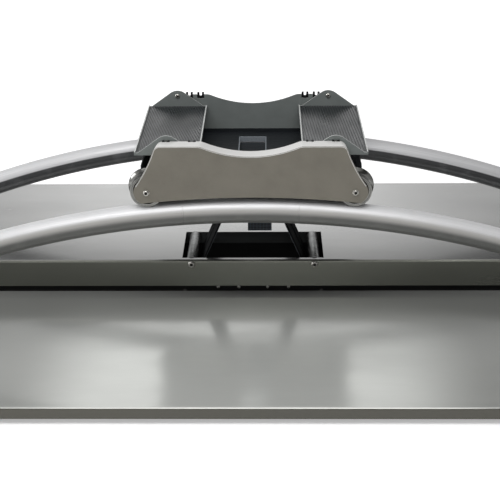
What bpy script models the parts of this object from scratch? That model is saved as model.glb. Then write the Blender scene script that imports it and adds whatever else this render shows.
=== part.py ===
# Ski simulator: a sprung carriage with two swinging foot trays rolls on two arched rails.
# Metres, +Z up, X along the rails, Y from the front to the back.
# The origin is on the floor, below the middle of the base.

import math

import bmesh
import bpy
from mathutils import Matrix, Vector

# Clearances
gap = 0.0003
groove_ease = 0.001
end_play = 0.0005
stop_play = 0.002

# Base
base_length = 2.13
base_depth = 1.146
foot_height = 0.012
crossmember_width = 0.135
crossmember_top = 0.062
crossmember_wall = 0.004
foot_length = 0.110
sheet = 0.002
front_deck_top = 0.0446
front_lip_bottom = 0.016
rear_deck_top = 0.1377
rear_deck_skirt_bottom = 0.0626
rear_deck_overlap = 0.045
bend_radius = 0.006
floor_tube_depth = 0.040
floor_tube_height = 0.024
floor_tube_wall = 0.003
beam_plate = 0.004
beam_bottom = 0.015
beam_ledge = 0.030
beam_face_from_track = 0.0323

# Rails
track_mid_y = 0.0375
rail_tube_radius = 0.030
rail_tube_wall = 0.003
rail_top_axis_z = 0.3705
rail_gauge = 0.500
rail_rise = 0.2441
rail_end_inset = 0.0481
socket_wall = 0.008
socket_depth = 0.040
socket_tail = 0.022
socket_post_width = 0.050
stop_wall = 0.014
stop_length = 0.027

# Deck opening and band rollers
opening_length = 0.376
opening_front = -0.0166
opening_rear = 0.1561
deck_roller_spacing = 0.326
deck_roller_radius = 0.0155
deck_roller_rise = 0.004
roller_axle_radius = 0.005
guide_roller_radius = 0.0145
guide_roller_z = 0.046
guide_axle_radius = 0.004

# Elastic bands
band_thickness = 0.004
band_width = 0.050
band_split = 0.010
band_joint_x = 0.1254
band_end_x = 0.02155
band_end_drop = 0.0367
band_tie_length = 0.018
band_tie_thickness = 0.008
anchor_length = 0.025
anchor_height = 0.018

# Carriage side beams
wheelbase = 0.4918
wheel_roll_radius = 0.0375
wheel_rim_radius = 0.0465
wheel_lip_radius = 0.0395
wheel_lip_inset = 0.006
wheel_width = 0.044
wheel_axle_radius = 0.005
cover_sheet = 0.003
side_beam_depth = 0.082
side_top_z = 0.5393
flange_fall = 0.0149
rear_cover_rise = 0.0708
side_top_half_length = 0.222
side_corner_radius = 0.017
side_hollow_radius = 0.34
side_lobe_radius = 0.030
side_arch_z = 0.4128
dip_depth = 0.025
dip_radius = 0.29
dip_fillet = 0.030
flange_wheel_clearance = 0.003

# Pan and band clamp
pan_overhang = 0.0196
pan_drop = 0.1077
pan_sheet = 0.003
pan_side_height = 0.012
window_width = 0.069
window_front = -0.040
window_rear = 0.1466
collar_depth = 0.0105
clamp_half_length = 0.045
clamp_margin = 0.006
clamp_rear_margin = 0.0175
tongue_left = -0.0129
tongue_width = 0.0628
tongue_thickness = 0.008
tongue_drop = 0.2077
tongue_rib_pitch = 0.005
tongue_rib_depth = 0.0015
tongue_rib_count = 18

# Foot trays and their seats
seat_spread = [0.2019, 0.1704, 0.1402]
pivot_sink = 0.0016
pivot_pin_radius = 0.0032
pivot_head_radius = 0.0065
seat_wall = 0.0055
seat_rise = 0.005
front_seat_drop = 0.002
strip_thickness = 0.004
strip_drop = 0.030
strip_end = 0.010
tray_width = 0.157
tray_sheet = 0.003
tray_floor_drop = 0.0318
tray_lip = 0.005
tray_to_plate = 0.0044
ear_top_radius = 0.032
ear_top_rise = 0.014
ear_inset = 0.009
ear_shoulder = 0.003
mat_thickness = 0.003
mat_margin = 0.0012
tray_tilt_limit = 18.0

carriage_tilt_limit = 13.0

# Worked out from the sizes above
half_length = base_length / 2
rail_end_x = half_length - rail_end_inset
rail_radius = (rail_end_x ** 2 + rail_rise ** 2) / (2 * rail_rise)
rail_end_angle = math.degrees(math.asin(rail_end_x / rail_radius))
arc_center_z = rail_top_axis_z - rail_radius
front_rail_y = track_mid_y - rail_gauge / 2
rear_rail_y = track_mid_y + rail_gauge / 2
wheel_orbit = rail_radius + rail_tube_radius + gap + wheel_roll_radius
wheel_x = wheelbase / 2
wheel_z = arc_center_z + math.sqrt(wheel_orbit ** 2 - wheel_x ** 2)
wheel_side = rail_gauge / 2 + wheel_width / 2
cover_outer = wheel_side + end_play + cover_sheet
plate_inner = cover_outer - side_beam_depth
plate_outer = plate_inner + cover_sheet
plate_top = side_top_z - flange_fall
rear_cover_top_z = wheel_z + rear_cover_rise
pivot_z = plate_top - pivot_sink
pan_length = wheelbase + 2 * pan_overhang
pan_bottom_z = plate_top - pan_drop
band_end_z = pan_bottom_z - band_end_drop
tongue_bottom_z = pan_bottom_z - tongue_drop
seat_top = plate_top - cover_sheet - gap
pin_tip = plate_outer + gap + strip_thickness + stop_play
tray_end = plate_inner - tray_to_plate
tray_floor_top = pivot_z - tray_floor_drop
tray_floor_bottom = tray_floor_top - tray_sheet
seat_outer_radius = pivot_pin_radius + gap + seat_wall
half_depth = base_depth / 2
crossmember_inner = half_length - crossmember_width
beam_face_y = track_mid_y - beam_face_from_track
front_beam_y = beam_face_y + bend_radius + gap
rear_beam_y = track_mid_y + opening_rear + 0.0013
deck_end = crossmember_inner + rear_deck_overlap
deck_roller_z = rear_deck_top + deck_roller_rise - deck_roller_radius
band_middle_y = track_mid_y + (opening_front + opening_rear) / 2
band_slope = (band_joint_x - band_end_x) / (band_end_z - rear_deck_top)
band_lean = math.degrees(math.atan(band_slope))
band_half_spread = band_width + band_split / 2

round_steps = 20
rail_sides = 20


# Looks: colour, roughness, metallic
looks = {
    "deck": ((0.56, 0.57, 0.57), 0.22, 0.9),
    "beam": ((0.08, 0.08, 0.08), 0.5, 0.3),
    "frame": ((0.05, 0.05, 0.055), 0.5, 0.2),
    "rail": ((0.62, 0.62, 0.64), 0.25, 0.9),
    "rubber": ((0.02, 0.02, 0.02), 0.8, 0.0),
    "band": ((0.012, 0.012, 0.014), 0.75, 0.0),
    "plastic": ((0.02, 0.02, 0.022), 0.45, 0.0),
    "bolt": ((0.55, 0.55, 0.56), 0.3, 1.0),
    "roller": ((0.5, 0.51, 0.5), 0.35, 0.8),
    "silver": ((0.36, 0.35, 0.33), 0.4, 0.6),
    "wheel": ((0.30, 0.30, 0.29), 0.35, 0.7),
    "mat": ((0.07, 0.08, 0.09), 0.7, 0.0),
}


def clear_scene():
    for item in list(bpy.data.objects):
        bpy.data.objects.remove(item, do_unlink=True)


def make_material(name, look):
    color, roughness, metallic = looks[look]
    material = bpy.data.materials.new(name)
    material.use_nodes = True
    shader = material.node_tree.nodes["Principled BSDF"]
    shader.inputs["Base Color"].default_value = (*color, 1.0)
    shader.inputs["Roughness"].default_value = roughness
    shader.inputs["Metallic"].default_value = metallic
    material.diffuse_color = (*color, 1.0)
    return material


def make_object(name, mesh_data, origin):
    bmesh.ops.recalc_face_normals(mesh_data, faces=mesh_data.faces[:])
    bmesh.ops.translate(mesh_data, verts=mesh_data.verts[:], vec=-Vector(origin))
    mesh = bpy.data.meshes.new(name)
    mesh_data.to_mesh(mesh)
    mesh_data.free()
    item = bpy.data.objects.new(name, mesh)
    item.location = origin
    bpy.context.scene.collection.objects.link(item)
    return item


def make_solid(name, mesh_data, look, parent=None, origin=(0, 0, 0), smooth=False):
    item = make_object(name, mesh_data, origin)
    item.data.materials.append(make_material(name, look))
    if smooth:
        item.data.shade_smooth()
        item.data.set_sharp_from_angle(angle=math.radians(35))
    if parent:
        item.parent = parent
        item.matrix_parent_inverse = Matrix.Translation(-parent.location)
    return item


def make_guide(name, mesh_data):
    item = make_object(name, mesh_data, (0, 0, 0))
    item.hide_render = True
    item.display_type = "WIRE"
    return item


def make_axis(name, location):
    item = bpy.data.objects.new(name, None)
    item.empty_display_size = 0.05
    item.location = location
    bpy.context.scene.collection.objects.link(item)
    return item


def combine(item, guide, operation):
    modifier = item.modifiers.new(guide.name, "BOOLEAN")
    modifier.operation = operation
    modifier.object = guide


def cut(item, guide):
    combine(item, guide, "DIFFERENCE")


def unite(item, guide):
    combine(item, guide, "UNION")


def round_edges(item, width, angle=50):
    modifier = item.modifiers.new("rounded edges", "BEVEL")
    modifier.width = width
    modifier.segments = 2
    modifier.limit_method = "ANGLE"
    modifier.angle_limit = math.radians(angle)


# Outlines and solids

def arc_points(center, radius, start, end, steps):
    angles = [math.radians(start + (end - start) * i / steps) for i in range(steps + 1)]
    return [(center[0] + radius * math.cos(a), center[1] + radius * math.sin(a)) for a in angles]


def extrude_outline(mesh_data, outline, low, high, along):
    places = {"Y": lambda u, v, w: (u, w, v), "X": lambda u, v, w: (w, u, v), "Z": lambda u, v, w: (u, v, w)}
    place = places[along]
    corners = [mesh_data.verts.new(place(u, v, low)) for u, v in outline]
    face = mesh_data.faces.new(corners)
    grown = bmesh.ops.extrude_face_region(mesh_data, geom=[face])
    tops = [part for part in grown["geom"] if isinstance(part, bmesh.types.BMVert)]
    travel = Vector(place(0, 0, high)) - Vector(place(0, 0, low))
    bmesh.ops.translate(mesh_data, verts=tops, vec=travel)


def prism(outline, low, high, along="Y"):
    mesh_data = bmesh.new()
    extrude_outline(mesh_data, outline, low, high, along)
    return mesh_data


def add_box(mesh_data, low, high):
    outline = [(low[0], low[1]), (high[0], low[1]), (high[0], high[1]), (low[0], high[1])]
    extrude_outline(mesh_data, outline, low[2], high[2], "Z")


def box(low, high):
    mesh_data = bmesh.new()
    add_box(mesh_data, low, high)
    return mesh_data


def add_cylinder(mesh_data, x, z, radius, low, high, steps=round_steps):
    outline = arc_points((x, z), radius, 0, 360, steps)[:-1]
    extrude_outline(mesh_data, outline, low, high, "Y")


def turned(profile, x, z, steps=round_steps):
    # Each profile point is (radius, y); the ends lie on one radius or on the axis.
    mesh_data = bmesh.new()
    corners = [mesh_data.verts.new((x + radius, y, z)) for radius, y in profile]
    pairs = list(zip(corners, corners[1:]))
    if profile[0][0] > 0:
        pairs.append((corners[-1], corners[0]))
    edges = [mesh_data.edges.new(pair) for pair in pairs]
    bmesh.ops.spin(
        mesh_data,
        geom=corners + edges,
        cent=(x, 0, z),
        axis=(0, 1, 0),
        angle=math.tau,
        steps=steps,
        use_merge=True,
    )
    bmesh.ops.remove_doubles(mesh_data, verts=mesh_data.verts[:], dist=1e-6)
    return mesh_data


def rail_sweep(radius, y, start, end, sides, steps):
    # A round bar bent along the rail's arc, from one angle off the top to another.
    mesh_data = bmesh.new()
    ring = []
    for i in range(sides):
        a = math.tau * i / sides
        ring.append(mesh_data.verts.new((0, y + radius * math.cos(a), rail_top_axis_z + radius * math.sin(a))))
    face = mesh_data.faces.new(ring)
    center = (0, y, arc_center_z)
    turn = Matrix.Rotation(math.radians(start), 3, "Y")
    bmesh.ops.rotate(mesh_data, verts=ring, cent=center, matrix=turn)
    bmesh.ops.spin(
        mesh_data,
        geom=[face],
        cent=center,
        axis=(0, 1, 0),
        angle=math.radians(end - start),
        steps=steps,
    )
    return mesh_data


def offset_path(path, distance):
    # Moves a path sideways: to its left for a positive distance.
    moved = []
    count = len(path)
    for i, point in enumerate(path):
        before = path[i - 1] if i > 0 else None
        after = path[i + 1] if i < count - 1 else None
        normals = []
        for start, end in ((before, point), (point, after)):
            if start is None or end is None:
                continue
            step = (Vector(end) - Vector(start)).normalized()
            normals.append(Vector((-step.y, step.x)))
        normal = sum(normals, Vector((0, 0))).normalized()
        reach = distance / max(normal.dot(normals[0]), 0.2)
        moved.append((point[0] + normal.x * reach, point[1] + normal.y * reach))
    return moved


def fillet(before, corner, after, radius, steps):
    a = (Vector(before) - Vector(corner)).normalized()
    b = (Vector(after) - Vector(corner)).normalized()
    half = a.angle(b) / 2
    middle = (a + b).normalized()
    center = Vector(corner) + middle * (radius / math.sin(half))
    start = a * (radius / math.tan(half)) + Vector(corner) - center
    end = b * (radius / math.tan(half)) + Vector(corner) - center
    from_angle = math.degrees(math.atan2(start.y, start.x))
    swing = math.degrees(math.atan2(start.x * end.y - start.y * end.x, start.dot(end)))
    return arc_points(center, radius, from_angle, from_angle + swing, steps)


def mirrored(path):
    return [(-x, z) for x, z in reversed(path)]


def side_name(sign):
    return "left" if sign < 0 else "right"


def end_name(sign):
    return "front" if sign < 0 else "rear"


# Base

def build_rails():
    for sign in (-1, 1):
        y = track_mid_y + sign * rail_gauge / 2
        bar = rail_sweep(rail_tube_radius, y, -rail_end_angle, rail_end_angle, rail_sides, 36)
        rail = make_solid("rail_" + end_name(sign), bar, "rail", smooth=True)
        bore_radius = rail_tube_radius - rail_tube_wall
        past = rail_end_angle + 1
        bore = rail_sweep(bore_radius, y, -past, past, 10, 18)
        cut(rail, make_guide("bore_rail_" + end_name(sign), bore))


def stop_angle():
    # Where the wheel's rim meets the stop's face, with the carriage at its limit.
    wheel_angle = math.degrees(math.asin(wheel_x / wheel_orbit))
    stop_radius = rail_tube_radius + gap + stop_wall
    below = wheel_orbit - rail_radius - stop_radius
    reach = math.sqrt(wheel_rim_radius ** 2 - below ** 2) + stop_play
    return carriage_tilt_limit + wheel_angle + math.degrees(reach / (rail_radius + stop_radius))


def build_rail_stops():
    start = stop_angle()
    end = start + math.degrees(stop_length / rail_radius)
    for end_sign in (-1, 1):
        y = track_mid_y + end_sign * rail_gauge / 2
        for side_sign in (-1, 1):
            name = "rail_stop_" + end_name(end_sign) + "_" + side_name(side_sign)
            angles = sorted((side_sign * start, side_sign * end))
            collar = rail_sweep(rail_tube_radius + gap + stop_wall, y, *angles, rail_sides, 2)
            stop = make_solid(name, collar, "rubber", smooth=True)
            hole = rail_sweep(rail_tube_radius + gap, y, angles[0] - 1, angles[1] + 1, rail_sides, 4)
            cut(stop, make_guide("bore_" + name, hole))


def build_crossmember(sign):
    inner = crossmember_inner
    wall = crossmember_wall
    xs = sorted((sign * inner, sign * half_length))
    body = box((xs[0], -half_depth, foot_height), (xs[1], half_depth, crossmember_top))
    member = make_solid("end_crossmember_" + side_name(sign), body, "frame")
    hollow = box(
        (xs[0] + wall, -half_depth + wall, 0),
        (xs[1] - wall, half_depth - wall, crossmember_top - wall),
    )
    cut(member, make_guide("hollow_crossmember_" + side_name(sign), hollow))
    end_x = rail_radius * math.sin(math.radians(rail_end_angle))
    end_z = arc_center_z + rail_radius * math.cos(math.radians(rail_end_angle))
    mouth = rail_end_angle - math.degrees(socket_depth / rail_radius)
    tail = rail_end_angle + math.degrees(socket_tail / rail_radius)
    bottom = rail_end_angle + math.degrees(gap / rail_radius)
    for end_sign in (-1, 1):
        y = track_mid_y + end_sign * rail_gauge / 2
        label = side_name(sign) + "_" + end_name(end_sign)
        post_xs = sorted((sign * (end_x - socket_post_width / 2), sign * (end_x + socket_post_width / 2)))
        post = box(
            (post_xs[0], y - socket_post_width / 2, crossmember_top - wall / 2),
            (post_xs[1], y + socket_post_width / 2, end_z - rail_tube_radius / 2),
        )
        unite(member, make_guide("post_" + label, post))
        sleeve_angles = sorted((sign * mouth, sign * tail))
        sleeve = rail_sweep(rail_tube_radius + socket_wall, y, *sleeve_angles, rail_sides, 3)
        unite(member, make_guide("sleeve_" + label, sleeve))
        bore_angles = sorted((sign * (mouth - 1), sign * bottom))
        bore = rail_sweep(rail_tube_radius + gap, y, *bore_angles, rail_sides, 6)
        cut(member, make_guide("socket_" + label, bore))


def build_feet():
    wall = crossmember_wall + gap
    for end_sign in (-1, 1):
        for side_sign in (-1, 1):
            xs = sorted((side_sign * (crossmember_inner + wall), side_sign * (half_length - wall)))
            ys = sorted((end_sign * (half_depth - wall - foot_length), end_sign * (half_depth - wall)))
            block = box((xs[0], ys[0], 0), (xs[1], ys[1], crossmember_top - wall))
            foot = make_solid("foot_" + end_name(end_sign) + "_" + side_name(side_sign), block, "rubber")
            round_edges(foot, 0.003)


def build_floor_tube():
    front = -half_depth + bend_radius + gap
    back = front + floor_tube_depth
    top = front_deck_top - sheet - gap
    bottom = top - floor_tube_height
    end = crossmember_inner - gap
    tube = make_solid("front_floor_tube", box((-end, front, bottom), (end, back, top)), "frame")
    wall = floor_tube_wall
    bore = box((-end - 1, front + wall, bottom + wall), (end + 1, back - wall, top - wall))
    cut(tube, make_guide("bore_floor_tube", bore))


def beam_outline():
    # A tall plate that stands on both cross-members and drops between them.
    end = deck_end - sheet - gap
    step = crossmember_inner - gap
    top = rear_deck_top - sheet - gap
    seat = crossmember_top + gap
    return [
        (-end, seat),
        (-step, seat),
        (-step, beam_bottom),
        (step, beam_bottom),
        (step, seat),
        (end, seat),
        (end, top),
        (-end, top),
    ]


def build_beams(drill):
    rear_skirt_y = half_depth - bend_radius - gap - beam_plate
    starts = {"inner_beam_front": front_beam_y, "inner_beam_rear": rear_beam_y, "rear_beam": rear_skirt_y}
    for name, start in starts.items():
        make_solid(name, prism(beam_outline(), start, start + beam_plate), "beam")
    ledge_top = front_deck_top - sheet - gap
    reach = crossmember_inner - gap
    ledge = box(
        (-reach, front_beam_y - beam_ledge, ledge_top - beam_plate),
        (reach, front_beam_y + beam_plate / 2, ledge_top),
    )
    unite(bpy.data.objects["inner_beam_front"], make_guide("ledge_inner_beam", ledge))
    cut(bpy.data.objects["inner_beam_front"], drill)
    cut(bpy.data.objects["inner_beam_rear"], drill)


def build_front_deck():
    front = -half_depth
    back = front_beam_y - gap
    top = front_deck_top
    outer = fillet((front, front_lip_bottom), (front, top), (back, top), bend_radius, 5)
    inner = fillet(
        (front + sheet, front_lip_bottom),
        (front + sheet, top - sheet),
        (back, top - sheet),
        bend_radius - sheet,
        5,
    )
    outline = [(front, front_lip_bottom)] + outer + [(back, top), (back, top - sheet)]
    outline += list(reversed(inner)) + [(front + sheet, front_lip_bottom)]
    end = crossmember_inner - gap
    make_solid("front_deck", prism(outline, -end, end, "X"), "deck", smooth=True)


def build_rear_deck(drill):
    front = beam_face_y
    back = half_depth
    low = rear_deck_skirt_bottom
    top = rear_deck_top

    def hood(inset, bottom):
        f, b, t = front + inset, back - inset, top - inset
        radius = bend_radius - inset
        corners = fillet((f, bottom), (f, t), (b, t), radius, 4)
        corners += fillet((f, t), (b, t), (b, bottom), radius, 4)
        return [(f, bottom)] + corners + [(b, bottom)]

    deck = make_solid("rear_deck", prism(hood(0, low), -deck_end, deck_end, "X"), "deck", smooth=True)
    inside = deck_end - sheet
    cut(deck, make_guide("hollow_rear_deck", prism(hood(sheet, low - 0.02), -inside, inside, "X")))
    half_opening = opening_length / 2
    holes = box(
        (-half_opening, track_mid_y + opening_front, top - 0.01),
        (half_opening, track_mid_y + opening_rear, top + 0.01),
    )
    slot_half = rail_tube_radius + socket_wall + stop_play
    slot_start = rail_radius * math.sin(math.acos((top - arc_center_z) / (rail_radius - slot_half)))
    for sign in (-1, 1):
        xs = sorted((sign * slot_start, sign * (deck_end + 0.02)))
        low_corner = (xs[0], rear_rail_y - slot_half, crossmember_top + rail_tube_radius)
        add_box(holes, low_corner, (xs[1], rear_rail_y + slot_half, top + 0.02))
    cut(deck, make_guide("openings_rear_deck", holes))
    cut(deck, drill)


# Rollers and bands

def guide_roller_x():
    line_x = band_joint_x + (rear_deck_top - guide_roller_z) * band_slope
    clear = guide_roller_radius + gap + band_thickness / 2
    return line_x + clear / math.cos(math.radians(band_lean))


def axle_profile(radius, head_radius, head, start, end, nut_radius, nut):
    return [
        (0, start - head),
        (head_radius * 0.6, start - head),
        (head_radius, start - head * 0.4),
        (head_radius, start - gap),
        (radius, start - gap),
        (radius, end + gap),
        (nut_radius, end + gap),
        (nut_radius, end + nut),
        (0, end + nut),
    ]


def build_rollers():
    back = rear_beam_y + beam_plate
    for sign in (-1, 1):
        side = side_name(sign)
        x = sign * deck_roller_spacing / 2
        bore = roller_axle_radius + gap
        rim = deck_roller_radius
        start = track_mid_y + opening_front + 2 * end_play
        end = track_mid_y + opening_rear - 2 * end_play
        profile = [(bore, start), (rim - 0.001, start), (rim, start + 0.001)]
        profile += [(rim, end - 0.001), (rim - 0.001, end), (bore, end)]
        roller = turned(profile, x, deck_roller_z)
        axis = (x, 0, deck_roller_z)
        make_solid("deck_roller_" + side, roller, "roller", origin=axis, smooth=True)
        shaft = axle_profile(roller_axle_radius, 0.0075, 0.005, beam_face_y, back, 0.0085, 0.007)
        make_solid("deck_roller_axle_" + side, turned(shaft, x, deck_roller_z, 14), "bolt", smooth=True)
        x = sign * guide_roller_x()
        bore = guide_axle_radius + gap
        start = front_beam_y + beam_plate + end_play
        end = rear_beam_y - end_play
        profile = [(bore, start), (guide_roller_radius, start), (guide_roller_radius, end), (bore, end)]
        roller = turned(profile, x, guide_roller_z)
        axis = (x, 0, guide_roller_z)
        make_solid("guide_roller_" + side, roller, "roller", origin=axis, smooth=True)
        shaft = [(0, front_beam_y + gap), (guide_axle_radius, front_beam_y + gap)]
        shaft += [(guide_axle_radius, back + gap), (0.007, back + gap), (0.007, back + 0.005)]
        shaft += [(0, back + 0.005)]
        make_solid("guide_roller_axle_" + side, turned(shaft, x, guide_roller_z, 12), "bolt", smooth=True)


def build_axle_drill():
    drill = bmesh.new()
    for sign in (-1, 1):
        low = beam_face_y - 0.01
        high = rear_beam_y + 0.02
        add_cylinder(drill, sign * deck_roller_spacing / 2, deck_roller_z, roller_axle_radius + gap, low, high)
        low = front_beam_y - gap / 2
        add_cylinder(drill, sign * guide_roller_x(), guide_roller_z, guide_axle_radius + gap, low, high)
    return make_guide("drill_axles", drill)


def band_direction():
    lean = math.radians(band_lean)
    return Vector((-math.sin(lean), math.cos(lean)))


def band_line(z):
    # The centre of the right band's free run, by height.
    return Vector((band_joint_x - (z - rear_deck_top) * band_slope, z))


def ribbon(path, sign, look, name, tie_path):
    half = band_thickness / 2
    outline = offset_path(path, half) + list(reversed(offset_path(path, -half)))
    outline = [(sign * x, z) for x, z in outline]
    front_start = band_middle_y - band_half_spread
    rear_start = band_middle_y + band_split / 2
    mesh_data = bmesh.new()
    extrude_outline(mesh_data, outline, front_start, front_start + band_width, "Y")
    extrude_outline(mesh_data, outline, rear_start, rear_start + band_width, "Y")
    band = make_solid(name, mesh_data, look)
    half = band_tie_thickness / 2
    outline = offset_path(tie_path, half) + list(reversed(offset_path(tie_path, -half)))
    outline = [(sign * x, z) for x, z in outline]
    tie = prism(outline, band_middle_y - band_half_spread - gap, band_middle_y + band_half_spread + gap)
    unite(band, make_guide("tie_" + name, tie))


def build_bands():
    up = band_direction()
    joint = band_line(rear_deck_top)
    top = band_line(band_end_z) - up * gap
    turn = guide_roller_radius + gap + band_thickness / 2
    center = (guide_roller_x(), guide_roller_z)
    run_z = guide_roller_z - turn
    anchor_x = crossmember_inner - gap - anchor_length - gap
    for sign in (-1, 1):
        side = side_name(sign)
        free_path = [tuple(joint + up * gap / 2), tuple(top)]
        tie_path = [tuple(top - up * band_tie_length), tuple(top)]
        ribbon(free_path, sign, "band", "band_free_" + side, tie_path)
        wrap = arc_points(center, turn, 270, 180 + band_lean, 8)
        inner_path = [(anchor_x, run_z)] + wrap + [tuple(joint - up * gap / 2)]
        tie_path = [(anchor_x, run_z), (anchor_x - band_tie_length, run_z)]
        ribbon(inner_path, sign, "band", "band_inner_run_" + side, tie_path)
        xs = sorted((sign * (anchor_x + gap), sign * (crossmember_inner - gap)))
        low = (xs[0], band_middle_y - band_half_spread, run_z - anchor_height / 2)
        high = (xs[1], band_middle_y + band_half_spread, run_z + anchor_height / 2)
        anchor = make_solid("band_anchor_" + side, box(low, high), "frame")
        round_edges(anchor, 0.002)


# Carriage

def side_top_path(top_z):
    # Right half of the top edge: up the hollow side, round the corner, along the flat and into the dip.
    corner = Vector((side_top_half_length, top_z))
    hub = Vector((wheel_x, wheel_z))
    spoke = corner - hub
    reach = side_hollow_radius + side_lobe_radius
    along = (reach ** 2 - side_hollow_radius ** 2 + spoke.length ** 2) / (2 * spoke.length)
    aside = math.sqrt(reach ** 2 - along ** 2)
    unit = spoke.normalized()
    center = hub + unit * along + Vector((unit.y, -unit.x)) * aside
    start = math.degrees(math.atan2(hub.y - center.y, hub.x - center.x)) % 360
    end = math.degrees(math.atan2(corner.y - center.y, corner.x - center.x)) % 360
    flank = arc_points(center, side_hollow_radius, start, end, 9)
    path = [point for point in flank if (Vector(point) - corner).length > side_corner_radius]
    path += fillet(path[-1], corner, (0, top_z), side_corner_radius, 6)
    drop = dip_radius - dip_depth + dip_fillet
    fillet_x = math.sqrt((dip_radius + dip_fillet) ** 2 - drop ** 2)
    swing = math.degrees(math.asin(fillet_x / (dip_radius + dip_fillet)))
    path += arc_points((fillet_x, top_z - dip_fillet), dip_fillet, 90, 90 + swing, 6)
    path += arc_points((0, top_z - dip_depth + dip_radius), dip_radius, swing - 90, -90, 7)[1:]
    return path


def inset_path(path, inset, fall):
    moved = [(x, z - fall) for x, z in offset_path(path, inset)]
    return moved[:-1] + [(0, moved[-1][1])]


def lobe_exit(near, far, radius):
    # Where the line from one point to the next leaves the wheel's lobe, as an angle round the hub.
    hub = Vector((wheel_x, wheel_z))
    step = Vector(far) - Vector(near)
    spoke = Vector(near) - hub
    b = 2 * spoke.dot(step)
    c = spoke.length_squared - radius ** 2
    a = step.length_squared
    t = (math.sqrt(max(b * b - 4 * a * c, 0)) - b) / (2 * a)
    out = spoke + step * t
    return math.degrees(math.atan2(out.y, out.x))


def side_outline(top_z, inset=0, fall=0):
    # The arch keeps its distance from the rail and cuts the foot of the wheel's lobe.
    lobe_radius = side_lobe_radius - inset
    arch_radius = side_arch_z + inset - arc_center_z
    hub_distance = math.hypot(wheel_x, wheel_z - arc_center_z)
    spread = (hub_distance ** 2 + arch_radius ** 2 - lobe_radius ** 2) / (2 * hub_distance * arch_radius)
    end = math.atan2(wheel_z - arc_center_z, wheel_x) - math.acos(spread)
    arch = arc_points((0, arc_center_z), arch_radius, 90, math.degrees(end), 12)
    lobe_start = math.degrees(math.atan2(arch[-1][1] - wheel_z, arch[-1][0] - wheel_x))
    moved = inset_path(side_top_path(top_z), inset, fall)
    hub = Vector((wheel_x, wheel_z))
    clear = [i for i, point in enumerate(moved) if (Vector(point) - hub).length > lobe_radius + gap]
    lobe_end = lobe_exit(moved[max(clear[0] - 1, 0)], moved[clear[0]], lobe_radius)
    lobe = arc_points((wheel_x, wheel_z), lobe_radius, lobe_start, lobe_end, 14)
    right = arch + lobe[1:] + moved[clear[0]:]
    return right + mirrored(right[1:-1])


def flange_hollow():
    # What lies behind the cover's face and inside its flange.
    path = side_top_path(side_top_z)
    inner = inset_path(path, cover_sheet, 0)
    outward = (Vector(path[0]) - Vector(inner[0])).normalized()
    lip = Vector(path[0]) + outward * 0.03
    right = [(0.4, 0.3), (0.4, lip.y), tuple(lip)] + inner
    return right + mirrored(right[:-1])


def slope_inwards(mesh_data):
    # The front cover's flange falls from the face to the inner plate.
    for corner in mesh_data.verts:
        inward = (cover_outer - abs(corner.co.y - track_mid_y)) / side_beam_depth
        corner.co.z -= flange_fall * inward
    return mesh_data


def seat_places(end_sign):
    return seat_spread if end_sign > 0 else [seat_spread[0], seat_spread[2]]


def seat_notches(end_sign):
    notches = bmesh.new()
    near = plate_inner - 0.0005
    far = pin_tip + end_play
    ys = sorted((track_mid_y + end_sign * near, track_mid_y + end_sign * far))
    low = pivot_z - seat_outer_radius - gap
    for spread in seat_places(end_sign):
        for side_sign in (-1, 1):
            x = side_sign * spread
            reach = seat_outer_radius + gap
            add_box(notches, (x - reach, ys[0], low), (x + reach, ys[1], side_top_z + 0.02))
    return make_guide("notches_" + end_name(end_sign), notches)


def build_side_beams(carriage):
    drill = bmesh.new()
    rims = bmesh.new()
    rim_room = wheel_rim_radius + flange_wheel_clearance
    rim_ys = (track_mid_y - cover_outer + cover_sheet, track_mid_y - plate_inner + 0.01)
    for sign in (-1, 1):
        add_cylinder(drill, sign * wheel_x, wheel_z, wheel_axle_radius + gap, -0.5, 0.5)
        add_cylinder(rims, sign * wheel_x, wheel_z, rim_room, *rim_ys, 36)
    drill = make_guide("drill_wheel_axles", drill)
    rims = make_guide("room_for_wheels", rims)

    def span(sign, near, far):
        return sorted((track_mid_y + sign * near, track_mid_y + sign * far))

    front = slope_inwards(prism(side_outline(side_top_z), *span(-1, plate_inner, cover_outer)))
    hollow = prism(flange_hollow(), *span(-1, plate_inner - 0.01, cover_outer - cover_sheet))
    cover = make_solid("cover_front", front, "silver", carriage, smooth=True)
    cut(cover, make_guide("hollow_cover", slope_inwards(hollow)))
    cut(cover, rims)
    cut(cover, drill)
    rear_ys = span(1, cover_outer - cover_sheet, cover_outer)
    cover = make_solid("cover_rear", prism(side_outline(rear_cover_top_z), *rear_ys), "silver", carriage)
    cut(cover, drill)
    outlines = {
        -1: side_outline(side_top_z, cover_sheet + gap, flange_fall),
        1: side_outline(plate_top),
    }
    for sign, outline in outlines.items():
        name = "inner_plate_" + end_name(sign)
        plate = make_solid(name, prism(outline, *span(sign, plate_inner, plate_outer)), "silver", carriage)
        notches = seat_notches(sign)
        cut(plate, notches)
        cut(plate, drill)
        if sign < 0:
            cut(bpy.data.objects["cover_front"], notches)


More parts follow.
